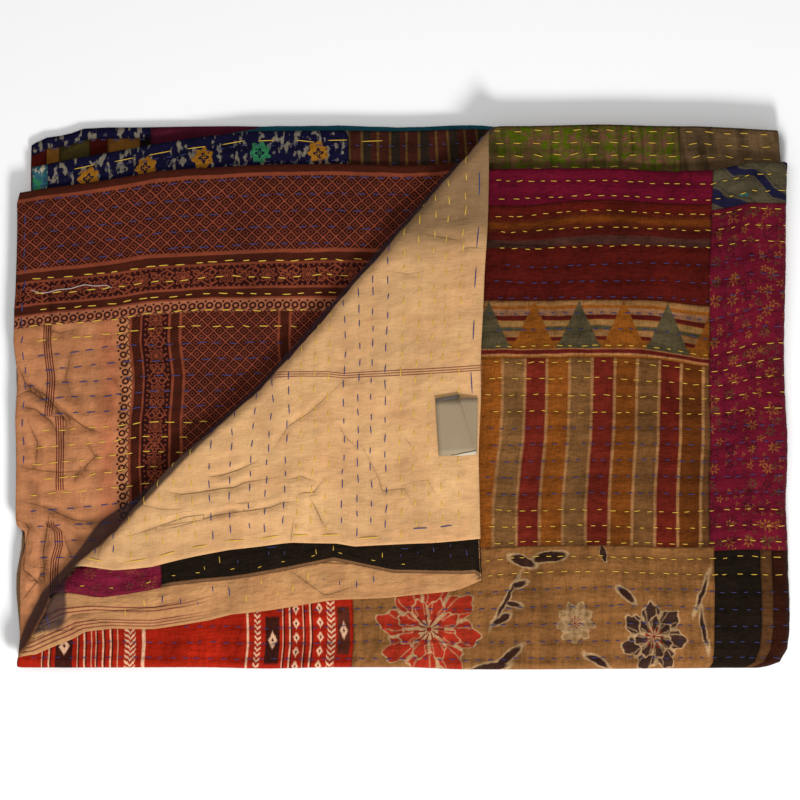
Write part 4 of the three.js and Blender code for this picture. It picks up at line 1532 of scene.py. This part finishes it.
@dataclass
class Face:
    """One face of the cloth as a mesh of rows and columns on the flat coordinates."""

    name: str
    side: Side
    relief: Relief
    rows: Array
    columns: Array
    patches: tuple[Patch, ...]
    finishes: dict[str, Cotton]

    def choose(self, u: Array, v: Array) -> tuple[Array, Array]:
        """Patch of each place: the last one in the table that holds it.

        Args:
            u, v: flat coordinates of the faces' middles.

        Returns:
            The patch's number for each face and the table of the patches' borders.
        """
        chosen = np.zeros(u.shape, int)
        for k, patch in enumerate(self.patches):
            inside = (u >= patch.u0) & (u < patch.u1) & (v >= patch.v0) & (v < patch.v1)
            chosen[inside] = k
        return chosen, np.array([(p.u0, p.u1, p.v0, p.v1) for p in self.patches])

    def snapped(self) -> tuple[Array, Array]:
        """Rows and columns moved onto the nearest patch borders, but not those of the hems."""
        rows, columns = self.rows.copy(), self.columns.copy()
        hem = 6
        for patch in self.patches:
            for places, borders in ((columns, (patch.u0, patch.u1)), (rows, (patch.v0, patch.v1))):
                for border in borders:
                    k = int(np.argmin(np.abs(places - border)))
                    if hem < k < len(places) - 1 - hem:
                        places[k] = border
        return rows, columns

    def build(self) -> bpy.types.Object:
        """Makes the mesh, its flat coordinates, its relief and border numbers, and its materials."""
        rows, columns = self.snapped()
        u, v = np.meshgrid(columns, rows)
        height, _, round_, beside, strength = self.relief.height(self.side, u, v)
        off = self.side.value * (self.relief.lay.half * round_ + height)
        points = pressed(self.relief.lay.place(u, v, off)[0]) * MM
        count_v, count_u = u.shape
        at = np.arange(count_v * count_u).reshape(count_v, count_u)
        a, b, c, d = at[:-1, :-1], at[:-1, 1:], at[1:, 1:], at[1:, :-1]
        order = (a, b, c, d) if self.side is Side.PATCHWORK else (a, d, c, b)
        quads = np.stack(order, axis=-1).reshape(-1, 4)
        mesh = quad_mesh(self.name, points.reshape(-1, 3), quads)
        flat = np.stack([u, v], axis=-1).reshape(-1, 2)
        corners = flat[quads]
        layer = mesh.uv_layers.new(name="FlatCloth")
        layer.data.foreach_set("uv", (corners * MM).astype(np.float32).ravel())
        middle = corners.mean(axis=1)
        chosen, borders = self.choose(middle[:, 0], middle[:, 1])
        names = sorted({p.finish for p in self.patches})
        slots = np.array([names.index(p.finish) for p in self.patches])
        mesh.polygons.foreach_set("material_index", slots[chosen].astype(np.int32))
        for name in names:
            mesh.materials.append(self.finishes[name].material())
        box = borders[chosen][:, None, :]
        inset_u = np.minimum(corners[..., 0] - box[..., 0], box[..., 1] - corners[..., 0])
        inset_v = np.minimum(corners[..., 1] - box[..., 2], box[..., 3] - corners[..., 1])
        inset = np.clip(np.minimum(inset_u, inset_v), 0, FAR_OFF)
        border = mesh.attributes.new("Border", "FLOAT", "CORNER")
        border.data.foreach_set("value", inset.astype(np.float32).ravel())
        shade = self.relief.shade_gap(self.side, u, v)
        numbers = (("Relief", height), ("CreaseGap", beside), ("CreaseDepth", strength), ("ShadeGap", shade))
        for title, values in numbers:
            number = mesh.attributes.new(title, "FLOAT", "POINT")
            number.data.foreach_set("value", values.astype(np.float32).ravel())
        LOG.info("%s: %d faces, %d materials", self.name, len(quads), len(names))
        return shown(self.name, mesh)


def quad_mesh(name: str, points: Array, quads: Array) -> bpy.types.Mesh:
    """A smooth mesh of four-sided faces.

    Args:
        name: the mesh's name.
        points: places in metres, one row each.
        quads: corner numbers, one row of four each.

    Returns:
        The mesh.
    """
    mesh = bpy.data.meshes.new(name)
    mesh.vertices.add(len(points))
    mesh.vertices.foreach_set("co", points.astype(np.float32).ravel())
    mesh.loops.add(quads.size)
    mesh.loops.foreach_set("vertex_index", quads.astype(np.int32).ravel())
    mesh.polygons.add(len(quads))
    mesh.polygons.foreach_set("loop_start", np.arange(0, quads.size, 4, dtype=np.int32))
    mesh.polygons.foreach_set("use_smooth", np.ones(len(quads), bool))
    mesh.update(calc_edges=True)
    return mesh


def pressed(points: Array) -> Array:
    """Places with what would sink into the floor pressed flat on it."""
    return np.stack([points[..., 0], points[..., 1], np.maximum(points[..., 2], FLOOR + CLEARANCE)], axis=-1)


def shown(name: str, mesh: bpy.types.Mesh) -> bpy.types.Object:
    """An object in the scene at the origin that moves with the throw."""
    piece = bpy.data.objects.new(name, mesh)
    bpy.context.scene.collection.objects.link(piece)
    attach(piece, "root")
    return piece


def stations(*spans: tuple[float, float, float]) -> Array:
    """Places of rows or columns: each span from a start to a stop in even steps near a size."""
    parts = []
    for start, stop, step in spans:
        parts.append(np.linspace(start, stop, max(2, round((stop - start) / step) + 1)))
    joined = np.concatenate(parts)
    keep = np.concatenate([[True], np.diff(joined) > 1e-6])
    return joined[keep]


@dataclass(frozen=True)
class Thread:
    """Stranded cotton sewing thread: matt, its colour a little uneven from strand to strand."""

    name: str
    ground: str

    def material(self) -> bpy.types.Material:
        """Builds the material on the object's own coordinates."""
        loom = Loom(self.name)
        at = loom.add("TexCoord").outputs["Object"]
        cloud = loom.add("TexNoise", {"Vector": at, "Scale": 900.0, "Detail": 2.0})
        tone = Field(loom, cloud.outputs[0])
        colour = loom.shaded(srgb(self.ground), 0.55 + tone * 0.9)
        return loom.finished(colour, tone * 0.2, 0.8, Sheen_Weight=0.2, Sheen_Roughness=0.4)


@dataclass
class Stitching:
    """Running stitches in one thread, as short tubes whose ends dip into the cloth.

    Attributes:
        name: the piece's name.
        relief: the cloth's relief.
        thread: its material.
        radius: of the thread.
        proud: how far a stitch's middle stands off each face.
        slim: share of the radius that shows on each face.
        sides: of each tube.
        rings: of each stitch in a row.
    """

    name: str
    relief: Relief
    thread: Thread
    radius: float = 0.44
    proud: tuple[float, float] = (0.44, 0.34)
    slim: tuple[float, float] = (0.72, 1)
    sides: int = 6
    rings: int = 5

    def tubes(self, side: Side, run_u: Array, run_v: Array, sunk: float = 0.3) -> tuple[Array, Array]:
        """Tubes along runs on the cloth, their ends sunk into it.

        Each ring is an ellipse about the run's point, in the plane of the outward normal and the
        direction across the run; its size swells from the ends to the middle by a sine.

        Args:
            side: the face they lie on.
            run_u, run_v: the runs' points, with shape (count, rings).
            sunk: how far the ends lie below the face.

        Returns:
            The points and the quads.
        """
        count, rings = run_u.shape
        t = np.linspace(0, 1, rings)
        back = side is Side.LINING
        proud = self.proud[back]
        lift = -sunk + (sunk + proud) * np.sin(math.pi * t) ** 0.35
        centre = self.relief.surface(side, run_u, run_v, lift)
        above = self.relief.surface(side, run_u, run_v, lift + 0.4)
        normal = above - centre
        normal /= np.linalg.norm(normal, axis=-1, keepdims=True)
        way = np.gradient(centre, axis=1)
        way /= np.linalg.norm(way, axis=-1, keepdims=True)
        across = np.cross(way, normal)
        across /= np.linalg.norm(across, axis=-1, keepdims=True)
        phi = np.linspace(0, 2 * math.pi, self.sides, endpoint=False)
        radius = self.radius * self.slim[back]
        size = radius * (0.4 + 0.6 * np.sin(math.pi * t) ** 0.4)
        c = np.cos(phi)[None, None, :, None] * size[None, :, None, None]
        s = np.sin(phi)[None, None, :, None] * size[None, :, None, None] * 0.85
        points = centre[:, :, None, :] + across[:, :, None, :] * c + normal[:, :, None, :] * s
        at = np.arange(count * rings * self.sides).reshape(count, rings, self.sides)
        turned = np.roll(at, -1, axis=2)
        walls = np.stack([at[:, :-1], turned[:, :-1], turned[:, 1:], at[:, 1:]], axis=-1).reshape(-1, 4)
        first, last = at[:, 0], at[:, -1]
        ends = [first[:, [0, 5, 4, 3]], first[:, [0, 3, 2, 1]], last[:, [0, 1, 2, 3]], last[:, [0, 3, 4, 5]]]
        return points.reshape(-1, 3), np.concatenate([walls, *ends])

    def runs(self, side: Side, blue: bool, seed: int) -> tuple[Array, Array]:
        """Paths of the stitches in all rows of one thread that can be seen on a face.

        Args:
            side: the face.
            blue: which thread.
            seed: for the unevenness of the hand.

        Returns:
            The paths in u and in v, a row of points for each stitch.
        """
        lay = self.relief.lay
        rng = np.random.default_rng(seed)
        starts = []
        for row in stitch_rows(lay):
            back = side is Side.LINING
            if row.blue is not blue or (not back and row.v > lay.length - 60):
                continue
            long, pitch = (8.0, 13.0) if back else (5.6, 10.3)
            if row.v > lay.start[3]:
                long, pitch = (8.6, 15.5) if back else (7.5, 15.5)
            count = int((lay.width - 16) / pitch)
            place = 8 + pitch * (np.arange(count) + rng.uniform(0, 1)) + rng.normal(0, 0.09 * pitch, count)
            place += 0.12 * pitch * rumple(place, np.full(count, row.v), 60, 40, seed + 5)
            reach = long * rng.uniform(0.74, 1.22, count)
            across = rng.normal(0, 0.35, (count, 2))
            ends_v = row.v + across
            starts.append(np.stack([place, place + reach, ends_v[:, 0], ends_v[:, 1]], axis=1))
        every = np.concatenate(starts)
        u, v = spread(every[:, :2], self.rings), spread(every[:, 2:], self.rings)
        v = v + self.relief.wander(u, v)
        open_ = self.relief.height(side, u, v)[1]
        seen = open_.min(axis=1) > SEEN
        return u[seen], v[seen]

    def build(self, parts: list[tuple[Side, Array, Array]]) -> bpy.types.Object:
        """Joins all the stitches of the thread into one mesh.

        Args:
            parts: for each lot of stitches its face and its paths in u and in v.

        Returns:
            The object.
        """
        points, quads, total = [], [], 0
        for side, u, v in parts:
            p, q = self.tubes(side, u, v)
            points.append(p)
            quads.append(q + total)
            total += len(p)
        mesh = quad_mesh(self.name, pressed(np.concatenate(points)) * MM, np.concatenate(quads))
        mesh.materials.append(self.thread.material())
        LOG.info("%s: %d faces", self.name, len(mesh.polygons))
        return shown(self.name, mesh)


def spread(ends: Array, rings: int) -> Array:
    """Evenly spaced values from the first to the second of each pair."""
    return ends[:, :1] + (ends[:, 1:] - ends[:, :1]) * np.linspace(0, 1, rings)


def patchwork_patches(lay: Lay) -> tuple[Patch, ...]:
    """All patches of the patchwork face; later ones lie over earlier ones.

    The first ones are a plain arrangement for the layers that lie inside the bundle or under it.

    Args:
        lay: how the cloth lies.

    Returns:
        The patches.
    """
    wide, long = lay.width / 9, lay.length / 12
    plain = ("brown_stripes", "magenta", "maroon", "taupe", "teal", "floral", "striped_maroon", "green")
    inside = []
    for i in range(9):
        for j in range(12):
            finish = plain[(3 * i + 5 * j + (i * j) % 3) % len(plain)]
            inside.append(Patch(finish, i * wide, (i + 1) * wide, j * long, (j + 1) * long))
    q1, q2, q3 = lay.start[1:]
    top = q1 + 374.4
    squares = (
        ("maroon", 1244.8, lay.width), ("ochre", 1226, 1244.8), ("olive", 1205.3, 1226),
        ("maroon", 1190.4, 1205.3), ("ochre", 1163.7, 1190.4), ("black", 1155, 1163.7),
    )
    return (
        *inside,
        Patch("temple", 230, 562.7, q1 + 248.4, q1 + 295.9),
        Patch("canvas_stripes", 230, 562.7, q1 + 93.2, q1 + 248.4),
        Patch("banded_red", 230, 562.7, q1 + 295.9, top),
        Patch("magenta", 278, 562.7, top, q2 + 24),
        Patch("band_print", 562.7, 690, q1 + 369.4, q2 + 24),
        Patch("floral", 562.7, 690, q1 + 89.5, q1 + 369.4),
        Patch("black", 566.5, 603.5, 395, q1 + 89.5),
        Patch("brown_cloth", 603.5, 613, 395, q1 + 89.5),
        Patch("red_brown", 613, 665, 395, q1 + 89.5),
        Patch("large_flowers", 272, 566.5, 395, q1 + 93.2),
        Patch("ikat", 0, 272, 395, q1 + 108),
        Patch("green", 300, 532, q3 + 350, lay.length),
        Patch("gathered", 532, 650, q3 + 350, lay.length),
        Patch("corner_print", 1242.8, lay.width, 0, 60),
        Patch("navy_print", 991.5, 1242.8, 0, 60),
        Patch("striped_maroon", 860, 991.5, 0, 60),
        Patch("navy_print", 1155, lay.width, q2 - 4, q2 + 6),
        *(Patch(finish, u0, u1, q2 + 6, q2 + 34) for finish, u0, u1 in squares),
        Patch("teal_strip", 860, 1155, q2 - 4, q2 + 40),
        Patch("magenta_bright", 0, 60, q2 + 257, q3 - 4.4),
        Patch("black_cloth", 0, 60, q2 - 20, q2 + 257),
        Patch("binding", 0, 4.2, q2 - 20, q2 + 257),
    )


IKAT_COLUMNS = (
    Column(20, 30, "#2A0E0A", Figure.LINES), Column(31, 45, "#32120C", Figure.FLAME, 492),
    Column(49, 61, "#2A0E0A", Figure.LINES), Column(64, 82, "#2A0E0A", Figure.LINES),
    Column(86, 96.8, "#8E2415", Figure.CHEVRON), Column(100.9, 103.5, "#C79A7A"),
    Column(185, 186.6, "#C79A7A"), Column(190.5, 196.7, "#8E2415", Figure.CHEVRON),
    Column(200, 211.6, "#32120C", Figure.FLAME, 498), Column(214, 222.4, "#8A3020", Figure.LINES),
    Column(222, 229, "#32120C", Figure.DIAMOND), Column(231, 241, "#8A3020", Figure.LINES),
    Column(241.3, 248, "#5A1A10", Figure.DIAMOND), Column(249.6, 257.8, "#8E2415", Figure.CHEVRON),
    Column(258.7, 268.8, "#4A2014", Figure.FLAME, 505),
)


def patchwork_finishes(lay: Lay) -> dict[str, Cotton]:
    """Finish of each kind of patch by its name.

    Args:
        lay: how the cloth lies.

    Returns:
        The finishes.
    """
    q1, q2 = lay.start[1], lay.start[2]
    top = q1 + 93.2
    sprays = tuple(Stroke(u, top - down, long, wide, degrees) for u, down, long, wide, degrees in (
        (432, 10, 13, 4.6, 8), (410, 13, 11, 4.0, -25), (396, 44, 15, 1.5, 60), (407, 32, 6, 2.6, 15),
        (402, 47, 6, 2.2, -8), (393, 58, 7, 2.6, 25), (476, 8, 2.4, 8, 10), (494, 42, 8, 2.8, -40),
        (556, 38, 12, 1.6, 70), (558, 66, 13, 1.6, 100), (380, 98, 18, 4.0, 12), (398, 88, 12, 3.2, 40),
        (470, 92, 10, 2.6, -30),
    ))
    blooms = (
        Bloom(452, top - 62, 15, 9, "#84643E", 1.0), Bloom(516, top - 74, 27, 7, "#33201A"),
        Bloom(334, top - 66, 42, 8, "#8E2414", 0.6),
    )
    return {
        "magenta": Cotton("magenta_silk_cotton", "#580A1E"),
        "magenta_bright": SprigPrint("magenta_lawn", "#6D172C", strength=0.5),
        "maroon": Cotton("maroon_cotton", "#481009"),
        "taupe": Cotton("taupe_cotton", "#5A4430", fading=0.2),
        "teal": Cotton("teal_cotton", "#123A44"),
        "black": Cotton("black_cotton", "#170F08", slub=0.16),
        "black_cloth": Cotton("black_lawn", "#19110A", slub=0.16),
        "binding": Cotton("binding_cotton", "#6A4A30"),
        "ochre": Cotton("ochre_cotton", "#6A4418"),
        "olive": Cotton("olive_cotton", "#3A3014"),
        "brown_cloth": Cotton("brown_cotton", "#4A2E17", slub=0.2),
        "red_brown": Cotton("red_brown_cotton", "#290F05", slub=0.2),
        "banded_red": BandedRed("banded_red_cotton", "#440E08", slub=0.22, fading=0.22, base=q1 + 295.9),
        "temple": TempleBorder("temple_border_cotton", "#733F10", slub=0.24, fading=0.3, base=q1 + 248.4),
        "canvas_stripes": CanvasStripes("striped_canvas_cotton", "#764012", slub=0.19, fading=0.24),
        "floral": SprigPrint("sprigged_magenta_cotton", "#5C0E1F"),
        "green": VinePrint("green_vine_cotton", "#424C04"),
        "navy_print": BlotchPrint("navy_floral_cotton", "#0D0B24"),
        "corner_print": BlotchPrint("corner_floral_cotton", "#27505A", blotch="#A49A84", seed=43),
        "ikat": WarpIkat("red_warp_ikat_cotton", "#901A08", columns=IKAT_COLUMNS),
        "large_flowers": LargeFlowers("taupe_flowered_cotton", "#7A502A", strokes=sprays, blooms=blooms),
        "gathered": Gathered("gathered_taupe_cotton", "#57422B"),
        "brown_stripes": Striped("brown_striped_cotton", "#572C12", second="#22110A",
                                 third="#7A4C1C", period=26),
        "striped_maroon": Striped("maroon_striped_cotton", "#36170F", second="#221912",
                                  third="#4E381A", period=24),
        "band_print": BandPrint("pale_banded_cotton", "#4A4230"),
        "teal_strip": TwoStrips("teal_strip_cotton", "#12424E", fold_v=q2),
    }


def hemmed(size: float, *spans: tuple[float, float, float]) -> Array:
    """Stations across the whole cloth, with the fine steps of a rounded hem at both ends."""
    hem = ((0, 0.35, 0.35), (0.35, 1, 0.65), (1, 3, 1))
    far_hem = ((size - stop, size - start, step) for start, stop, step in reversed(hem))
    return stations(*hem, *spans, *far_hem)


def build_cloth(lay: Lay, relief: Relief) -> None:
    """Args:
        lay: how the cloth lies.
        relief: its relief.
    """
    q1, q2, q3 = lay.start[1:]
    bend_2, bend_3 = q2 - lay.bend_length[1], q3 - lay.bend_length[2]
    right, past_right = lay.half_width, lay.half_width + lay.right_bend
    front = Face(
        "patchwork_face", Side.PATCHWORK, relief,
        hemmed(lay.length, (3, 46, 3), (46, 390, 22), (390, 410, 5), (410, q1, 1.65), (q1, bend_2, 2.6),
               (bend_2, q2, 1.1), (q2, q2 + 18, 2.6), (q2 + 18, bend_3, 8), (bend_3, q3, 1.1),
               (q3, q3 + 385, 20), (q3 + 385, lay.length - 3, 2.7)),
        hemmed(lay.width, (3, 40, 2.6), (40, right, 2.9), (right, past_right, 1.7),
               (past_right, lay.width - 3, 10)),
        patchwork_patches(lay), patchwork_finishes(lay),
    )
    piece = front.build()
    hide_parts("throw")
    lines_3 = ((146.9, 0.9), (149, 0.9), (151.1, 0.9))
    lines_1 = ((3, 0.9), (5.6, 0.9), (8, 0.9), (16, 1.1), (19, 1.1))
    lining = {
        "sari": SariLining("sari_border_cotton", "#A66C46", slub=0.06, valley=0.2, crumple=1.0),
        "plain": PlainLining("tan_sari_cotton", "#C79C6C", slub=0.05, valley=0.12, crumple=0.5,
                              lines=lines_3, lean=0.06, painted_top_shade=0.9),
        "rose": PlainLining("rose_sari_cotton", "#AE8053", slub=0.05, valley=0.2, crumple=1.0, lines=lines_1,
                             fade=590, blush="#98603E"),
    }
    back = Face(
        "lining_face", Side.LINING, relief,
        hemmed(lay.length, (3, 405, 2.8), (405, 410, 2.5), (410, q1, 2.2), (q1, q1 + 60, 2.5),
               (q1 + 60, bend_2, 6), (bend_2, q2, 1.1), (q2, bend_3, 25), (bend_3, q3, 1.1),
               (q3, lay.length - 3, 2.8)),
        hemmed(lay.width, (3, 395, 2.7), (395, right, 14), (right, past_right, 2.75),
               (past_right, lay.width - 3, 20)),
        tuple(Patch(finish, -FAR_OFF, lay.width + FAR_OFF, low, high) for finish, low, high in (
            ("rose", -FAR_OFF, lay.length + FAR_OFF), ("sari", -FAR_OFF, 416),
            ("plain", q3 - 2, lay.length + FAR_OFF),
        )),
        lining,
    )
    piece = back.build()


def build_stitches(lay: Lay, relief: Relief) -> None:
    """Builds the running stitches and the long hem stitches in both threads.

    Args:
        lay: how the cloth lies.
        relief: its relief.
    """
    yellow = Thread("yellow_cotton_thread", "#D0A830")
    for thread, blue in ((yellow, False), (Thread("blue_cotton_thread", "#242862"), True)):
        stitching = Stitching(thread.name.replace("thread", "stitches"), relief, thread)
        parts = [
            (Side.PATCHWORK, *stitching.runs(Side.PATCHWORK, blue, 51 + blue)),
            (Side.LINING, *stitching.runs(Side.LINING, blue, 61 + blue)),
            *hem_stitches(lay, relief, blue),
        ]
        piece = stitching.build(parts)


@dataclass(frozen=True)
class HemRow:
    """A row of long stitches beside a hem, along u or along v, with their length and pitch."""

    side: Side
    along_u: bool
    at: float
    low: float
    high: float
    long: float
    pitch: float
    blue: bool


def hem_rows(lay: Lay) -> list[HemRow]:
    """All rows of long stitches beside the hems that show."""
    front, back, q2, end = Side.PATCHWORK, Side.LINING, lay.start[2], lay.length
    return [
        HemRow(back, True, end - 8, 130, 640, 20, 44, blue=True),
        HemRow(back, False, 6.5, 20, 250, 8, 15, blue=True),
        HemRow(back, False, 14, 1608, 1660, 13, 25, blue=True),
        HemRow(front, False, 22, q2 + 60, q2 + 330, 9, 37, blue=True),
        HemRow(back, False, 7.5, 1330, 1600, 17, 29, blue=False),
        HemRow(front, True, 8, 960, 1240, 17, 30, blue=False),
        *(HemRow(front, True, end - gap, 300, 640, 7.5, 17, blue=False) for gap in (4.5, 14.5, 24.7, 35.5)),
        HemRow(front, False, 8, q2 + 60, q2 + 330, 3.5, 23, blue=False),
    ]


def hem_stitches(lay: Lay, relief: Relief, blue: bool) -> list[tuple[Side, Array, Array]]:
    """Long running stitches just inside the hems that show, in one thread.

    Args:
        lay: how the cloth lies.
        relief: its relief.
        blue: which thread.

    Returns:
        Lots of stitches for Stitching.build.
    """
    rng = np.random.default_rng(71 + blue)
    lots, rings = [], 9
    for row in hem_rows(lay):
        if row.blue is not blue:
            continue
        places = np.arange(row.low, row.high - row.long, row.pitch)
        starts = places + rng.normal(0, 0.08 * row.pitch, len(places))
        reach = row.long * rng.uniform(0.85, 1.15, len(places))
        runs = spread(np.stack([starts, starts + reach], axis=1), rings)
        other = spread(row.at + rng.normal(0, 0.6, (len(places), 2)), rings)
        u, v = (runs, other) if row.along_u else (other, runs)
        seen = relief.height(row.side, u, v)[1].min(axis=1) > SEEN
        if seen.any():
            lots.append((row.side, u[seen], v[seen]))
    return lots


def build_loose_thread(relief: Relief) -> None:
    """Builds the pale loose thread that lies on the printed border."""
    path = ((-304.2, 87), (-297, 85), (-288, 86), (-277.5, 87.6), (-268.3, 89.6), (-259.2, 91.2),
            (-250, 91.2), (-242.1, 90.7), (-235.7, 89))
    t = np.linspace(0, len(path) - 1, 41)
    x, y = (np.interp(t, np.arange(len(path)), [p[k] for p in path]) for k in (0, 1))
    y = y + 0.5 * np.sin(t * 2.9)
    u, v = relief.find(Side.LINING, x, y, 30, 100)
    thread = Thread("pale_loose_thread", "#B9A9A4")
    stitching = Stitching("loose_thread", relief, thread, radius=0.34)
    stitching.build([(Side.LINING, u[None, :], v[None, :])])


def build_tag(relief: Relief) -> None:
    """Builds the blank satin tag on the flap's right hem."""
    tag = SatinTag(relief)
    piece = tag.build()
    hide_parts("label")


@dataclass(frozen=True)
class TagLayer:
    """A slab of the tag: near left, near right, far right and far left corner, and their lifts."""

    corners: tuple[tuple[float, float], ...]
    lifts: tuple[float, ...]
    count: int
    curl: float
    finish: int = 0


@dataclass
class SatinTag:
    """A doubled satin strip sewn down at its right side, its top edge turned and a corner folded."""

    relief: Relief
    thickness: float = 0.35

    def sheet(self, layer: TagLayer) -> tuple[Array, Array]:
        """A thin closed slab between four corners that lies over the cloth.

        Bilinear between the corners; its height is the cloth's top plus a bilinear lift and a curl
        that rises as a sine towards its free left side.

        Args:
            layer: its corners, their heights over the cloth, steps each way and curl.

        Returns:
            Its points and quads.
        """
        count = layer.count
        s, t = np.meshgrid(np.linspace(0, 1, count), np.linspace(0, 1, count))
        weights = np.stack([(1 - s) * (1 - t), s * (1 - t), s * t, (1 - s) * t], axis=-1)
        flat = weights @ np.array(layer.corners)
        curl = layer.curl * np.cos(s * math.pi / 2) ** 3 * (0.6 + 0.4 * np.sin(2.4 * t + 0.5))
        lift = weights @ np.array(layer.lifts) + curl
        ground = self.cloth_top(flat[..., 0], flat[..., 1])
        top = np.concatenate([flat, (ground + lift + self.thickness)[..., None]], axis=-1)
        bottom = top - np.array((0, 0, self.thickness))
        points = np.concatenate([top.reshape(-1, 3), bottom.reshape(-1, 3)])
        at = np.arange(2 * count * count).reshape(2, count, count)
        up, down = at

        def faces(a: Array, b: Array, c: Array, d: Array) -> Array:
            """Quads from their four corners."""
            return np.stack([a, b, c, d], axis=-1).reshape(-1, 4)

        quads = [
            faces(up[:-1, :-1], up[:-1, 1:], up[1:, 1:], up[1:, :-1]),
            faces(down[:-1, :-1], down[1:, :-1], down[1:, 1:], down[:-1, 1:]),
            faces(up[0, :-1], down[0, :-1], down[0, 1:], up[0, 1:]),
            faces(up[-1, :-1], up[-1, 1:], down[-1, 1:], down[-1, :-1]),
            faces(up[:-1, 0], up[1:, 0], down[1:, 0], down[:-1, 0]),
            faces(up[:-1, -1], down[:-1, -1], down[1:, -1], up[1:, -1]),
        ]
        return points, np.concatenate(quads)

    def cloth_top(self, x: Array, y: Array) -> Array:
        """Height of the flap's face under each place."""
        u, v = self.relief.find(Side.LINING, x, y, 95, 1650)
        return self.relief.surface(Side.LINING, u, v)[..., 2]

    def build(self) -> bpy.types.Object:
        """Makes the strip's two layers, its turned top and its folded corner as one mesh."""
        layers = (
            TagLayer(((31, -48.8), (62.3, -47.2), (62.6, -2.0), (28, -2.4)),
                     lifts=(0.35, 0.3, 0.3, 0.5), count=10, curl=0.6),
            TagLayer(((31.3, -48.2), (61.8, -46.2), (61.8, -2.6), (28.4, -3.2)),
                     lifts=(0.9, 0.75, 0.75, 1.0), count=10, curl=0.8),
            # finish 1: the turned top, in the satin darkened as painted shade
            TagLayer(((28.2, -4.4), (47.8, -1.2), (47.2, 1.6), (27.8, -1.9)),
                     lifts=(1.6, 1.4, 1.5, 1.7), count=6, curl=0.3, finish=1),
            TagLayer(((60.4, -42.5), (61.4, -42.0), (62.9, -1.2), (47.4, -1.4)),
                     lifts=(1.5, 1.4, 1.4, 1.9), count=10, curl=0.9),
            # finish 2: a strip along the near edge, in the satin lightened as painted light
            TagLayer(((41, -48.9), (61.5, -47.5), (61.8, -44.4), (49, -47.0)),
                     lifts=(1.45, 1.3, 1.3, 1.5), count=6, curl=0.1, finish=2),
        )
        points, quads, slots, total = [], [], [], 0
        for layer in layers:
            p, q = self.sheet(layer)
            points.append(p)
            quads.append(q + total)
            slots.append(np.full(len(q), layer.finish))
            total += len(p)
        mesh = quad_mesh("satin_tag", np.concatenate(points) * MM, np.concatenate(quads))
        mesh.polygons.foreach_set("material_index", np.concatenate(slots).astype(np.int32))
        # One satin in three tones: its own colour, darker on the turned top as painted shade, paler on the
        # near edge strip as painted light
        mesh.materials.append(satin("grey_green_satin", "#8E7B60"))
        mesh.materials.append(satin("dark_satin_turn", "#4E453C"))
        mesh.materials.append(satin("pale_satin_edge", "#C0B49C"))
        LOG.info("satin_tag: %d faces", len(mesh.polygons))
        return shown("satin_tag", mesh)


def satin(name: str, code: str) -> bpy.types.Material:
    """Woven polyester satin: smoother than cotton, with a soft gloss and fine threads one way.

    Real threads lie 0.2 mm apart, too fine to show, so they are drawn 0.9 mm apart.

    Args:
        name: the material's name.
        code: its colour.

    Returns:
        The material.
    """
    loom = Loom(name)
    at = loom.add("TexCoord").outputs["Object"]
    parts = loom.add("SeparateXYZ", {0: at})
    x, y = Field(loom, parts.outputs[0]) * PER_METRE, Field(loom, parts.outputs[1]) * PER_METRE
    threads = loom.uneven(x, y, 0.9, 14, 1)
    colour = loom.shaded(srgb(code), 1 + threads * 0.02 + loom.uneven(x, y, 18, 22, 2) * 0.06)
    return loom.finished(colour, threads * 0.02, 0.6, Specular_IOR_Level=0.3, Sheen_Weight=0.1)


@dataclass(frozen=True)
class Lamp:
    """A round area light that faces the origin, its place and size in metres."""

    name: str
    place: tuple[float, float, float]
    size: float
    power: float

    def build(self) -> None:
        """Hangs the light."""
        data = bpy.data.lights.new(self.name, "AREA")
        data.shape = "DISK"
        data.size = self.size
        data.energy = self.power
        lamp = bpy.data.objects.new(self.name, data)
        lamp.location = self.place
        away = np.array(self.place) / np.linalg.norm(self.place)
        lamp.rotation_euler = (math.acos(away[2]), 0, math.atan2(away[0], -away[1]))
        bpy.context.scene.collection.objects.link(lamp)


def build_stage() -> None:
    """Pale floor, soft light and the camera straight above."""
    build_floor()
    scene = bpy.context.scene
    scene.view_settings.view_transform = "Standard"
    world = bpy.data.worlds.new("studio")
    scene.world = world
    world.use_nodes = True
    surroundings = world.node_tree.nodes["Background"]
    surroundings.inputs[0].default_value = (1, 1, 1, 1)
    surroundings.inputs[1].default_value = 0.40
    Lamp("key", place=(0.36, -1.32, 1.0), size=0.45, power=28.5).build()
    Lamp("fill", place=(-0.6, 0.5, 2.4), size=1.6, power=14.0).build()
    data = bpy.data.cameras.new("camera")
    distance, view_width, top = 6.0, 0.656, 0.013
    data.sensor_width = 36.0
    data.lens = data.sensor_width * (distance - top) / view_width
    data.clip_end = 20
    camera = bpy.data.objects.new("camera", data)
    camera.location = (-0.0008, -0.0029, distance)
    scene.collection.objects.link(camera)
    scene.camera = camera


def build_floor() -> None:
    """Matt pale floor, a little under the cloth."""
    size = 4.0
    mesh = bpy.data.meshes.new("floor")
    level = FLOOR * MM
    corners = [(-size, -size, level), (size, -size, level), (size, size, level), (-size, size, level)]
    mesh.from_pydata(corners, [], [(0, 1, 2, 3)])
    floor = bpy.data.objects.new("floor", mesh)
    bpy.context.scene.collection.objects.link(floor)
    loom = Loom("matt_white_floor")
    shader = loom.add("BsdfPrincipled", {"Base Color": srgb("#FAFAFA"), "Roughness": 0.9,
                                         "Specular IOR Level": 0.1})
    loom.add("OutputMaterial", {0: shader.outputs[0]})
    mesh.materials.append(loom.material)


def main() -> None:
    """Builds the throw piece by piece, then the stage."""
    logging.basicConfig(level=logging.INFO, format="%(message)s")
    lay = Lay()
    relief = Relief(lay)
    build_cloth(lay, relief)
    build_stitches(lay, relief)
    build_loose_thread(relief)
    build_tag(relief)
    build_stage()


if __name__ == "__main__":
    main()
